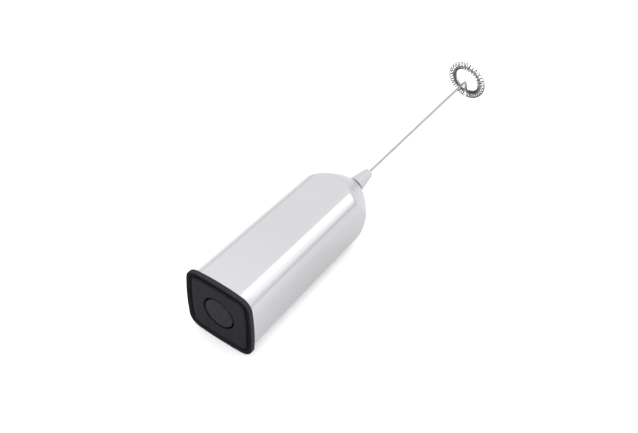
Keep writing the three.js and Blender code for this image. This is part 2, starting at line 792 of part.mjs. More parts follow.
const CORE_RING_RADIUS = COIL_RING_RADIUS - (COIL_RADIUS - COIL_WIRE - WIRE_RADIUS - 0.2);
const WIRE_BEND = 1.6;
const RING_FILLET = 1.5;
const SPOKE_SET_BACK = 1.2;
const SPOKE_END = Math.sqrt((CORE_RING_RADIUS - RING_FILLET) ** 2 - RING_FILLET ** 2);

/** A circular arc through space: a centre, two directions at right angles and two angles. */
class SpaceArc extends THREE.Curve {
  constructor({ centre, across, along, radius, start, end }) {
    super();
    Object.assign(this, { centre, across, along, radius, start, end });
  }

  getPoint(t, target = new THREE.Vector3()) {
    const angle = THREE.MathUtils.lerp(this.start, this.end, t);
    return target
      .copy(this.centre)
      .addScaledVector(this.across, this.radius * Math.cos(angle))
      .addScaledVector(this.along, this.radius * Math.sin(angle));
  }
}

/** The wire's way from the axis down the spoke and round the ring, nearly to where it began. */
function ringPath() {
  const axisX = new THREE.Vector3(1, 0, 0);
  const axisY = new THREE.Vector3(0, 1, 0);
  const axisZ = new THREE.Vector3(0, 0, 1);
  const at = (x, z) => new THREE.Vector3(x, RING_STATION, z);
  const overlap = 0.8;
  const filletMeet = -Math.atan2(SPOKE_END, RING_FILLET);
  const path = new THREE.CurvePath();
  const bendEnd = RING_STATION - SPOKE_SET_BACK;
  const bendStart = new THREE.Vector3(0, bendEnd - WIRE_BEND, 0);
  path.add(new THREE.LineCurve3(bendStart.clone().addScaledVector(axisY, -overlap), bendStart));
  path.add(new SpaceArc({
    centre: new THREE.Vector3(0, bendEnd - WIRE_BEND, -WIRE_BEND),
    across: axisZ,
    along: axisY,
    radius: WIRE_BEND,
    start: 0,
    end: Math.PI / 2,
  }));
  path.add(new THREE.LineCurve3(new THREE.Vector3(0, bendEnd, -WIRE_BEND), at(0, -SPOKE_END)));
  path.add(new SpaceArc({
    centre: at(RING_FILLET, -SPOKE_END),
    across: axisX,
    along: axisZ,
    radius: RING_FILLET,
    start: Math.PI,
    end: 2 * Math.PI + filletMeet,
  }));
  path.add(new SpaceArc({
    centre: at(0, 0),
    across: axisX,
    along: axisZ,
    radius: CORE_RING_RADIUS,
    start: filletMeet,
    end: THREE.MathUtils.degToRad(254),
  }));
  return path;
}

function whiskWire() {
  const straightEnd = RING_STATION - SPOKE_SET_BACK - WIRE_BEND - 0.2;
  const straight = disc(WIRE_RADIUS, WIRE_START, straightEnd, { sides: 12 });
  return join(straight, tube(ringPath(), WIRE_RADIUS, 80, 8));
}

/** The coil's centre line: a helix round the ring, with its turns crowded towards the spoke. */
class RingHelix extends THREE.Curve {
  getPoint(t, target = new THREE.Vector3()) {
    const open = THREE.MathUtils.degToRad(COIL_OPENING / 2);
    const share = t - (COIL_CROWDING * Math.sin(2 * Math.PI * t)) / (2 * Math.PI);
    const round = THREE.MathUtils.lerp(-Math.PI / 2 + open, (3 * Math.PI) / 2 - open, share);
    const wound = 2 * Math.PI * COIL_TURNS * t;
    const radius = COIL_RING_RADIUS + COIL_RADIUS * Math.cos(wound);
    return target.set(
      radius * Math.cos(round),
      RING_STATION + COIL_RADIUS * Math.sin(wound),
      radius * Math.sin(round),
    );
  }
}

function whiskParts() {
  const stepsPerTurn = 8;
  return [
    part('whisk_hub', whiskHub(), 'satinSilver'),
    part('whisk_wire', whiskWire(), 'steel'),
    part('whisk_coil', tube(new RingHelix(), COIL_WIRE, COIL_TURNS * stepsPerTurn, 4), 'steel'),
  ];
}

// ---------------------------------------------------------------- the frother

const frother = new THREE.Group();
frother.name = 'milk_frother';
frother.position.set(0, -TOTAL_LENGTH / 2, FLANGE_HALF);
frother.add(
  part('housing_shell', housingShell(), 'satinSilver'),
  part('nose_bush', noseBush(), 'blackPlastic'),
  ...capParts(),
  buttonSpring(),
  ...buttonParts(),
  ...batteryParts(),
  ...motorParts(),
  ...armatureParts(),
  ...whiskParts(),
);

export default frother;
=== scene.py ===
"""A hand-held milk frother for two AA cells, lying on its side in a plain white studio.

Shapes are made in millimetres in the axis frame: x across, y the distance along the axis from the end
cap's outer face, z up from the axis. The axis frame is then laid onto the CAD model, which is in metres.
"""

import json
import logging
import math
from collections.abc import Callable, Iterable, Mapping, Sequence
from dataclasses import dataclass, field
from enum import Enum
from typing import Any

import bmesh
import bpy
from mathutils import Matrix, Vector

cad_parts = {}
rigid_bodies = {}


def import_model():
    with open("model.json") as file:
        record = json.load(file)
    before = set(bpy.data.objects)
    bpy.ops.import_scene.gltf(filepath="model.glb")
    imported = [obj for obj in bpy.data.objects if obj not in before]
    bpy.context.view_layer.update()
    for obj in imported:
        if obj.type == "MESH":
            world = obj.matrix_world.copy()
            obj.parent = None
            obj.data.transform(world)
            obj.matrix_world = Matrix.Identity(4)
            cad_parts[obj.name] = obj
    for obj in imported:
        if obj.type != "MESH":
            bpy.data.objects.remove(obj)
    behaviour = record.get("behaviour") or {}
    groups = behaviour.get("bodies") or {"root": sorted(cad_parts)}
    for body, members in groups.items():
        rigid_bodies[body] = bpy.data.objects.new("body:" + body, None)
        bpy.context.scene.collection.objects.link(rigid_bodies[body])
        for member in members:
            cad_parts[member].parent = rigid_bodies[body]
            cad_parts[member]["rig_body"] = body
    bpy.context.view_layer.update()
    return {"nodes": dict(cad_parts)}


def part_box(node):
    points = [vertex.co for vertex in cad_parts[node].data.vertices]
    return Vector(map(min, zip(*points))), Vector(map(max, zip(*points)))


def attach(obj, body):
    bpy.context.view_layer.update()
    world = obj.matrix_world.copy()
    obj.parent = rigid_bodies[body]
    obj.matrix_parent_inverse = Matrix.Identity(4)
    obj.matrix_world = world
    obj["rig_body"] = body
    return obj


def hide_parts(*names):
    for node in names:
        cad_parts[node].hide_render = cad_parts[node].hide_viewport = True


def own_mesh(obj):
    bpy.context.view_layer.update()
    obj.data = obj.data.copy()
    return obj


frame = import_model()

log = logging.getLogger("frother")

MM = 0.001
TAU = 2 * math.pi
QUARTER = math.pi / 2
MERGE = 1e-4
SHARP_EDGE = math.radians(38)
DRIFT_LENGTH = 100


# ---------------------------------------------------------------------------- places from the frame


@dataclass(frozen=True)
class Axis:
    """The frother's long axis in the frame.

    Args:
        face: Where the end cap's outer face stands along Y, in metres.
        height: The axis's height over the surface, in metres.
    """

    face: float
    height: float

    @classmethod
    def from_frame(cls) -> "Axis":
        """Reads the axis from the CAD boxes of the rim and the housing."""
        low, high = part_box("housing_shell")
        return cls(face=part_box("cap_rim")[0].y, height=(low.z + high.z) / 2)

    @property
    def matrix(self) -> Matrix:
        """The matrix from the axis frame in millimetres to the frame in metres."""
        return Matrix.Translation((0, self.face, self.height)) @ Matrix.Scale(MM, 4)


AXIS = Axis.from_frame()


@dataclass(frozen=True)
class Extent:
    """A CAD node's box in the axis frame, in millimetres.

    Args:
        low: The box's lowest corner.
        high: The box's highest corner.
    """

    low: Vector
    high: Vector

    @classmethod
    def of(cls, node: str) -> "Extent":
        """Reads a node's box.

        Args:
            node: The CAD node's name.

        Returns:
            The node's extent.
        """
        to_axis = AXIS.matrix.inverted()
        low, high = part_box(node)
        return cls(to_axis @ low, to_axis @ high)

    @property
    def start(self) -> float:
        """The station nearest the end cap's face."""
        return self.low.y

    @property
    def end(self) -> float:
        """The station farthest from the end cap's face."""
        return self.high.y

    @property
    def half_width(self) -> float:
        """Half the box's width across."""
        return (self.high.x - self.low.x) / 2

    @property
    def centre_x(self) -> float:
        """The middle of the box across."""
        return (self.high.x + self.low.x) / 2


# ---------------------------------------------------------------------------- shader graphs


class Value:
    """A number in a shader graph, with Python's operators."""

    def __init__(self, graph: "Graph", socket: bpy.types.NodeSocket) -> None:
        """Wraps an output socket of a graph."""
        self.graph = graph
        self.socket = socket

    def __add__(self, other: "Value | float") -> "Value":
        """self + other."""
        return self.graph.math("ADD", self, other)

    def __radd__(self, other: float) -> "Value":
        """other + self."""
        return self.graph.math("ADD", other, self)

    def __sub__(self, other: "Value | float") -> "Value":
        """self - other."""
        return self.graph.math("SUBTRACT", self, other)

    def __rsub__(self, other: float) -> "Value":
        """other - self."""
        return self.graph.math("SUBTRACT", other, self)

    def __mul__(self, other: "Value | float") -> "Value":
        """self * other."""
        return self.graph.math("MULTIPLY", self, other)

    def __rmul__(self, other: float) -> "Value":
        """other * self."""
        return self.graph.math("MULTIPLY", other, self)


Colour = tuple[float, float, float]
Link = Value | bpy.types.NodeSocket | float | Sequence[float]


class Graph:
    """The node tree of a material or of the sky."""

    def __init__(self, owner: bpy.types.Material | bpy.types.World) -> None:
        """Empties the owner's node tree."""
        self.owner = owner
        self.owner.use_nodes = True
        self.tree = self.owner.node_tree
        self.tree.nodes.clear()

    @classmethod
    def named(cls, name: str) -> "Graph":
        """Starts a new material of this name."""
        return cls(bpy.data.materials.new(name))

    def node(
        self,
        kind: str,
        settings: Mapping[str, Any] | None = None,
        inputs: Mapping[str | int, Link] | None = None,
    ) -> bpy.types.Node:
        """Adds a node.

        Args:
            kind: The node's type without its ShaderNode prefix.
            settings: The node's own settings; "stops" holds a ramp's (position, grey) pairs.
            inputs: Values or links, by socket name or number.

        Returns:
            The new node.
        """
        made = self.tree.nodes.new(f"ShaderNode{kind}")
        for key, value in (settings or {}).items():
            if key == "stops":
                self._set_stops(made.color_ramp, value)
            else:
                setattr(made, key, value)
        for key, value in (inputs or {}).items():
            self._feed(made.inputs[key], value)
        return made

    @staticmethod
    def _set_stops(ramp: bpy.types.ColorRamp, stops: Sequence[tuple[float, float]]) -> None:
        """Gives a ramp its stops."""
        while len(ramp.elements) < len(stops):
            ramp.elements.new(0.5)
        for element, (position, grey) in zip(ramp.elements, stops):
            element.position = position
            element.color = (grey, grey, grey, 1)

    def _feed(self, socket: bpy.types.NodeSocket, value: Link) -> None:
        """Links or sets one input socket."""
        if isinstance(value, Value):
            self.tree.links.new(value.socket, socket)
        elif isinstance(value, bpy.types.NodeSocket):
            self.tree.links.new(value, socket)
        elif isinstance(value, (int, float)):
            socket.default_value = value
        else:
            numbers = list(value)
            if socket.type == "RGBA" and len(numbers) == 3:
                numbers.append(1)
            socket.default_value = numbers

    def math(self, operation: str, a: Link, b: Link = 0.0) -> Value:
        """Adds a Math node on two numbers."""
        made = self.node("Math", {"operation": operation}, {0: a, 1: b})
        return Value(self, made.outputs[0])

    def place(self, scale: Sequence[float] = (1, 1, 1)) -> bpy.types.NodeSocket:
        """Object coordinates from the axis's start, in millimetres times a scale along each axis."""
        place = self.node("TexCoord").outputs["Object"]
        start = (0, AXIS.face, AXIS.height)
        shifted = self.node("VectorMath", {"operation": "SUBTRACT"}, {0: place, 1: start})
        factors = [s / MM for s in scale]
        scaled = self.node("VectorMath", {"operation": "MULTIPLY"}, {0: shifted.outputs[0], 1: factors})
        return scaled.outputs[0]

    def noise(self, scale: Sequence[float], detail: float = 3, roughness: float = 0.55) -> Value:
        """Noise with this many features per millimetre along each axis."""
        inputs = {"Vector": self.place(scale), "Scale": 1, "Detail": detail, "Roughness": roughness}
        return Value(self, self.node("TexNoise", {}, inputs).outputs[0])

    def cells(self, scale: Sequence[float]) -> Value:
        """Distance to the nearest of scattered points, as on an eroded mould."""
        made = self.node("TexVoronoi", {}, {"Vector": self.place(scale), "Scale": 1})
        return Value(self, made.outputs["Distance"])

    def ramp(self, value: Value, stops: Sequence[tuple[float, float]]) -> Value:
        """Passes a number through a ramp of greys."""
        made = self.node("ValToRGB", {"stops": stops}, {0: value})
        return Value(self, made.outputs[0])

    def along(self) -> Value:
        """The station along the axis, in millimetres."""
        return Value(self, self.node("SeparateXYZ", {}, {0: self.place()}).outputs[1])

    def mix(self, factor: Link, a: Link, b: Link) -> bpy.types.NodeSocket:
        """Mixes two colours."""
        made = self.node("Mix", {"data_type": "RGBA"}, {"Factor": factor, 6: a, 7: b})
        return made.outputs[2]

    def bump(self, height: Value, depth: float) -> bpy.types.NodeSocket:
        """A normal from a height, where a height of 1 stands this many millimetres proud."""
        made = self.node("Bump", {}, {"Strength": 1, "Distance": depth * MM, "Height": height})
        return made.outputs[0]

    def surface(self, inputs: Mapping[str, Link]) -> bpy.types.Material:
        """Ends the graph with a Principled surface.

        Args:
            inputs: The surface's values or links, by socket name.

        Returns:
            The finished material.
        """
        shader = self.node("BsdfPrincipled", {}, inputs)
        self.node("OutputMaterial", {}, {0: shader.outputs[0]})
        return self.owner


def tinted(colour: Colour, factor: float) -> Colour:
    """A colour times a factor."""
    return tuple(min(1.0, channel * factor) for channel in colour)


# ---------------------------------------------------------------------------- finishes


@dataclass(frozen=True)
class SatinSilver:
    """A smooth silver coat with a faint lengthwise grain, a painted reflection that makes it a little lighter
    and bluer at the cap, and duller at the nose.

    Args:
        name: The material's name.
        colour: The coat's reflection colour.
        roughness: The roughness between the grain lines.
        metallic: How far the coat reflects as metal does.
        painted_cap_sheen: How much lighter the coat is painted at the cap, as a factor; this is a painted
            reflection.
        cap_sheen_span: The stations between which that painted reflection fades, in units of DRIFT_LENGTH.
        nose_roughness: The roughness that the nose adds.
        nose_drift: The stations over which it comes in, in units of DRIFT_LENGTH.
    """

    name: str = "satin_silver"
    colour: Colour = (0.405, 0.403, 0.415)
    roughness: float = 0.19
    metallic: float = 1.0
    painted_cap_sheen: float = 1.06
    cap_sheen_span: tuple[float, float] = (0.05, 0.45)
    nose_roughness: float = 0.22
    nose_drift: tuple[float, float] = (0.86, 1.0)

    def material(self) -> bpy.types.Material:
        """Builds the material."""
        graph = Graph.named(self.name)
        grain = graph.noise((9, 0.12, 9), detail=2)
        cloud = graph.noise((0.05, 0.05, 0.05), detail=2)
        coat = graph.mix(cloud, tinted(self.colour, 0.985), tinted(self.colour, 1.015))
        station = graph.along() * (1 / DRIFT_LENGTH)
        # Painted reflection: the coat is painted lighter and a little bluer near the cap, fading out along
        # the housing.
        red, green, blue = tinted(self.colour, self.painted_cap_sheen)
        cap_sheen_colour = (red, green, blue * 1.02)
        drift = graph.ramp(station, self.fade(self.cap_sheen_span))
        nose = graph.ramp(station, self.fade(self.nose_drift))
        dulled = self.roughness + nose * self.nose_roughness
        return graph.surface({
            "Base Color": graph.mix(drift, cap_sheen_colour, coat),
            "Specular Tint": (0.93, 0.93, 0.93),
            "Metallic": self.metallic,
            "Roughness": dulled + (grain - 0.5) * 0.05 + (cloud - 0.5) * 0.03,
            "Normal": graph.bump(grain, 0.0006),
        })

    @staticmethod
    def fade(span: tuple[float, float]) -> list[tuple[float, float]]:
        """The stops of a ramp from 0 to 1 over a span."""
        return [(span[0], 0), (span[1], 1)]


@dataclass(frozen=True)
class Moulded:
    """Moulded plastic or rubber with the fine skin of an eroded mould.

    Args:
        name: The material's name.
        colour: The body colour.
        roughness: The mean roughness.
        grain: The size of the skin's grain, in millimetres.
        relief: The grain's depth, in millimetres.
        mottle: How far the colour varies.
        gloss: The strength of the reflection at the surface.
        painted_front_shade: The share of the colour that is left on the end cap's very front, where painted
            shade darkens the face.
        patch: The size of the lighter and darker patches, in millimetres.
    """

    name: str
    colour: Colour
    roughness: float = 0.5
    grain: float = 0.35
    relief: float = 0.012
    mottle: float = 0.18
    gloss: float = 0.25
    painted_front_shade: float = 1.0
    patch: float = 2.8

    def material(self) -> bpy.types.Material:
        """Builds the material."""
        graph = Graph.named(self.name)
        per_mm = 1 / self.grain
        skin = graph.cells((per_mm, per_mm, per_mm)) * 0.6 + graph.noise((per_mm,) * 3, detail=4) * 0.8
        cloud = graph.noise((1 / self.patch,) * 3, detail=4)
        lighter = tinted(self.colour, 1 + self.mottle)
        darker = tinted(self.colour, 1 - self.mottle)
        body = graph.mix(graph.ramp(cloud, [(0.3, 0), (0.7, 1)]), darker, lighter)
        # Painted shade: the end cap's very front face is painted darker than the rest of the part.
        if self.painted_front_shade < 1:
            past_front_shade = graph.ramp(graph.along(), [(0.05, 0), (0.3, 1)])
            body = graph.mix(past_front_shade, tinted(self.colour, self.painted_front_shade), body)
        return graph.surface({
            "Base Color": body,
            "Roughness": self.roughness + (cloud - 0.5) * 0.16 + (skin - 0.6) * 0.08,
            "Specular IOR Level": self.gloss,
            "Normal": graph.bump(skin, self.relief),
        })


@dataclass(frozen=True)
class DrawnMetal:
    """Plated, drawn or turned metal with fine streaks.

    Args:
        name: The material's name.
        colour: The reflection colour.
        roughness: The mean roughness.
        streak: Streaks per millimetre across, along and up.
        tarnish: How far the colour darkens in patches.
    """

    name: str
    colour: Colour
    roughness: float = 0.25
    streak: tuple[float, float, float] = (3, 0.4, 3)
    tarnish: float = 0.12

    def material(self) -> bpy.types.Material:
        """Builds the material."""
        graph = Graph.named(self.name)
        streaks = graph.noise(self.streak, detail=3)
        cloud = graph.ramp(graph.noise((0.25, 0.25, 0.25), detail=4), [(0.35, 0), (0.75, 1)])
        return graph.surface({
            "Base Color": graph.mix(cloud, self.colour, tinted(self.colour, 1 - self.tarnish)),
            "Metallic": 1.0,
            "Roughness": self.roughness + (streaks - 0.5) * 0.12 + cloud * 0.06,
            "Normal": graph.bump(streaks, 0.002),
        })


@dataclass(frozen=True)
class Winding:
    """Enamelled copper wire in close turns, with painted shade darkening the grooves between the turns.

    Args:
        name: The material's name.
        colour: The wire's colour.
        pitch: The distance from turn to turn, in millimetres.
    """

    name: str = "copper_winding"
    colour: Colour = (0.4, 0.155, 0.07)
    pitch: float = 0.32

    def material(self) -> bpy.types.Material:
        """Builds the material."""
        graph = Graph.named(self.name)
        # Painted shade: the colour darkens towards the groove between each pair of turns.
        turns = graph.math("PINGPONG", graph.along(), self.pitch / 2) * (2 / self.pitch)
        cloud = graph.noise((0.8, 0.8, 0.8))
        return graph.surface({
            "Base Color": graph.mix(turns, tinted(self.colour, 0.35), self.colour),
            "Metallic": 0.85,
            "Roughness": 0.3 + cloud * 0.15,
            "Normal": graph.bump(turns, 0.08),
        })


@dataclass(frozen=True)
class Laminated:
    """A stack of thin iron sheets, seen on its edges.

    Args:
        name: The material's name.
        colour: The iron's colour.
        sheet: One sheet's thickness, in millimetres.
    """

    name: str = "laminated_iron"
    colour: Colour = (0.085, 0.085, 0.09)
    sheet: float = 0.5

    def material(self) -> bpy.types.Material:
        """Builds the material."""
        graph = Graph.named(self.name)
        ridge = graph.math("PINGPONG", graph.along(), self.sheet / 2) * (2 / self.sheet)
        gap = graph.ramp(ridge, [(0.0, 0), (0.25, 1)])
        cloud = graph.noise((0.9, 0.9, 0.9))
        return graph.surface({
            "Base Color": graph.mix(gap, tinted(self.colour, 0.3), self.colour),
            "Metallic": 0.7,
            "Roughness": 0.45 + cloud * 0.2,
            "Normal": graph.bump(gap, 0.05),
        })


@dataclass(frozen=True)
class CellSleeve:
    """A shrink sleeve with one lighter band round it.

    Args:
        name: The material's name.
        body: The sleeve's colour.
        band: The band's colour.
        band_start: The band's first station.
        band_end: The band's last station.
    """

    name: str
    body: Colour
    band: Colour
    band_start: float
    band_end: float

    def material(self) -> bpy.types.Material:
        """Builds the material."""
        graph = Graph.named(self.name)
        station = graph.along()
        past_start = graph.math("GREATER_THAN", station, self.band_start)
        before_end = graph.math("LESS_THAN", station, self.band_end)
        cloud = graph.noise((0.4, 0.15, 0.4))
        plain = graph.mix(cloud, tinted(self.body, 0.9), tinted(self.body, 1.1))
        return graph.surface({
            "Base Color": graph.mix(past_start * before_end, plain, self.band),
            "Metallic": 0.25,
            "Roughness": 0.26 + cloud * 0.12,
            "Coat Weight": 0.4,
            "Coat Roughness": 0.12,
            "Normal": graph.bump(cloud, 0.02),
        })


@dataclass(frozen=True)
class PaleFloor:
    """The studio's matt white floor.

    Args:
        name: The material's name.
        colour: The floor's colour.
    """

    name: str = "studio_floor"
    colour: Colour = (0.93, 0.93, 0.93)

    def material(self) -> bpy.types.Material:
        """Builds the material."""
        graph = Graph.named(self.name)
        cloud = graph.noise((0.02, 0.02, 0.02))
        return graph.surface({
            "Base Color": graph.mix(cloud, tinted(self.colour, 0.995), tinted(self.colour, 1.005)),
            "Roughness": 0.8 + cloud * 0.1,
            "Specular IOR Level": 0.1,
        })


Look = SatinSilver | Moulded | DrawnMetal | Winding | Laminated


def built(look: Look) -> Any:
    """A dataclass field that starts out as a finish's material."""
    return field(default_factory=look.material)


@dataclass
class Finishes:
    """Every finish on the frother, built once."""

    silver: bpy.types.Material = built(SatinSilver())
    matt_silver: bpy.types.Material = built(
        SatinSilver("matt_silver", (0.41, 0.41, 0.42), roughness=0.4, metallic=0.6)
    )
    # The rim's front face is painted darker here: painted shade.
    rubber: bpy.types.Material = built(Moulded(
        "black_rubber", (0.0240, 0.0235, 0.0285), 0.62,
        grain=0.5, relief=0.01, mottle=0.2, gloss=0.03, painted_front_shade=0.16,
    ))
    black: bpy.types.Material = built(Moulded(
        "black_plastic", (0.0122, 0.0121, 0.0152), 0.5,
        grain=0.6, relief=0.02, mottle=0.25, gloss=0.03,
    ))
    pad: bpy.types.Material = built(Moulded(
        "button_pad", (0.0212, 0.0205, 0.0252), 0.6,
        grain=0.8, relief=0.06, mottle=0.45, gloss=0.03, patch=0.9,
    ))
    # Black plastic made darker and more matt than the panel's plastic: painted shade for the groove floor
    # behind the panel and the gap at the nose.
    dark: bpy.types.Material = built(Moulded(
        "black_and_recess_shade", (0.0090, 0.0088, 0.0110), 0.8,
        grain=0.4, relief=0.012, mottle=0.18, gloss=0.03,
    ))
    grey: bpy.types.Material = built(
        Moulded("grey_plastic", (0.165, 0.165, 0.17), 0.5, grain=0.5, relief=0.01, mottle=0.06)
    )
    white: bpy.types.Material = built(
        Moulded("white_plastic", (0.44, 0.43, 0.4), 0.45, grain=0.5, relief=0.008, mottle=0.04)
    )
    nickel: bpy.types.Material = built(DrawnMetal("nickel", (0.41, 0.395, 0.365), 0.24, (4, 0.5, 0.5)))
    steel: bpy.types.Material = built(DrawnMetal("steel", (0.29, 0.29, 0.292), 0.34, (4, 0.3, 4)))
    # The coil's steel is given a very dark colour: painted shade of the close turns shading each other and
    # the ring.
    coil: bpy.types.Material = built(DrawnMetal("coil_wire", (0.1, 0.099, 0.096), 0.3, (4, 0.3, 4), 0.4))
    brass: bpy.types.Material = built(DrawnMetal("brass", (0.46, 0.33, 0.135), 0.28, (3, 3, 0.5)))
    copper: bpy.types.Material = built(DrawnMetal("copper", (0.5, 0.25, 0.15), 0.3, (3, 3, 0.5), 0.25))
    winding: bpy.types.Material = built(Winding())
    iron: bpy.types.Material = built(Laminated())
    ferrite: bpy.types.Material = built(
        Moulded("ferrite", (0.022, 0.022, 0.024), 0.75, grain=0.25, relief=0.03, mottle=0.35)
    )
    red: bpy.types.Material = built(
        Moulded("red_insulation", (0.27, 0.014, 0.01), 0.4, grain=0.6, relief=0.006, mottle=0.1)
    )
    sheath: bpy.types.Material = built(
        Moulded("black_insulation", (0.009, 0.009, 0.01), 0.4, grain=0.6, relief=0.006)
    )


# ---------------------------------------------------------------------------- shapes


@dataclass(frozen=True)
class Corner:
    """One corner of a profile.

    Args:
        radius: The distance from the axis.
        station: The distance along the axis.
        rounding: The radius that the corner is rounded with.
    """

    radius: float
    station: float
    rounding: float = 0.0


class Profile:
    """A line of corners in the half plane beside the axis, with rounded corners."""

    def __init__(self, corners: Sequence[Corner], closed: bool, steps: int = 5) -> None:
        """Keeps the corners.

        Args:
            corners: The corners in order.
            closed: Whether the last corner joins the first.
            steps: The number of steps in each rounding.
        """
        self.corners = corners
        self.closed = closed
        self.steps = steps

    def points(self) -> list[Vector]:
        """The line's points, as (radius, station), with a close pair beside each rounding."""
        count = len(self.corners)
        out: list[Vector] = []
        for index, corner in enumerate(self.corners):
            here = Vector((corner.radius, corner.station))
            at_end = not self.closed and index in (0, count - 1)
            if at_end or corner.rounding == 0:
                out.append(here)
                continue
            before = self.corners[index - 1]
            after = self.corners[(index + 1) % count]
            back = (Vector((before.radius, before.station)) - here).normalized()
            ahead = (Vector((after.radius, after.station)) - here).normalized()
            out.extend(self._rounded(here, back, ahead, corner.rounding))
        return out

    def _rounded(self, here: Vector, back: Vector, ahead: Vector, rounding: float) -> list[Vector]:
        """The arc that rounds one corner, with a supporting point at both its ends."""
        half = back.angle(ahead) / 2
        reach = rounding / math.tan(half)
        centre = here + (back + ahead).normalized() * (rounding / math.sin(half))
        first = here + back * reach
        last = here + ahead * reach
        support = min(0.06, rounding * 0.4)
        spokes = (first - centre).normalized(), (last - centre).normalized()
        arc = [centre + spokes[0].slerp(spokes[1], k / self.steps) * rounding for k in range(self.steps + 1)]
        return [first + back * support, *arc, last + ahead * support]


class Section:
    """A closed outline round the axis with a fixed number of points."""

    def points(self, inset: float) -> list[Vector]:
        """The outline's points, as (x, z), moved in by a distance."""
        raise NotImplementedError


@dataclass(frozen=True)
class CrownedSquare(Section):
    """A square with crowned sides and round corners, made of eight tangent arcs.

    Args:
        half: Half the width, from the middle of one side to the middle of the opposite one.
        corner: The corners' radius.
        crown: The sides' radius.
        side_points: The number of points on each side.
        corner_points: The number of points on each corner.
    """

    half: float
    corner: float
    crown: float
    side_points: int = 32
    corner_points: int = 20

    def points(self, inset: float) -> list[Vector]:
        """The outline's points, as (x, z), moved in by a distance."""
        face = self.half - self.crown
        reach = self.crown - self.corner
        middle = (face + math.sqrt(2 * reach * reach - face * face)) / 2
        meet = math.atan2(middle, middle - face)
        out: list[Vector] = []
        for side in range(4):
            turn = Matrix.Rotation(side * QUARTER, 2)
            for k in range(self.side_points):
                angle = meet * (2 * k / self.side_points - 1)
                arm = Vector((math.cos(angle), math.sin(angle))) * (self.crown - inset)
                out.append(turn @ (Vector((face, 0)) + arm))
            for k in range(self.corner_points):
                angle = meet + (QUARTER - 2 * meet) * k / self.corner_points
                arm = Vector((math.cos(angle), math.sin(angle))) * (self.corner - inset)
                out.append(turn @ (Vector((middle, middle)) + arm))
        return out


@dataclass(frozen=True)
class Round(Section):
    """A circle whose points stand in the same directions as another outline's.

    Args:
        radius: The circle's radius.
        like: The outline that the circle is lofted with.
    """

    radius: float
    like: Section

    def points(self, inset: float) -> list[Vector]:
        """The circle's points, as (x, z), moved in by a distance."""
        return [p.normalized() * (self.radius - inset) for p in self.like.points(0)]


@dataclass(frozen=True)
class Turn:
    """One corner of a lofted wall: an outline at a station, with the corner rounded.

    Args:
        section: The outline.
        inset: How far the outline is moved in.
        station: The distance along the axis.
        rounding: The radius that the corner is rounded with.
    """

    section: Section
    inset: float
    station: float
    rounding: float = 0.25

    @property
    def size(self) -> float:
        """The outline's mean distance from the axis."""
        points = self.section.points(self.inset)
        return sum(p.length for p in points) / len(points)

    def row(self, inward: float, onward: float) -> list[Vector]:
        """The outline's points moved in and along from the corner."""
        station = self.station + onward
        return [Vector((p.x, station, p.y)) for p in self.section.points(self.inset + inward)]


class Ends(Enum):
    """How a loft's first and last rows are finished."""

    JOINED = "joined"
    CAPPED = "capped"


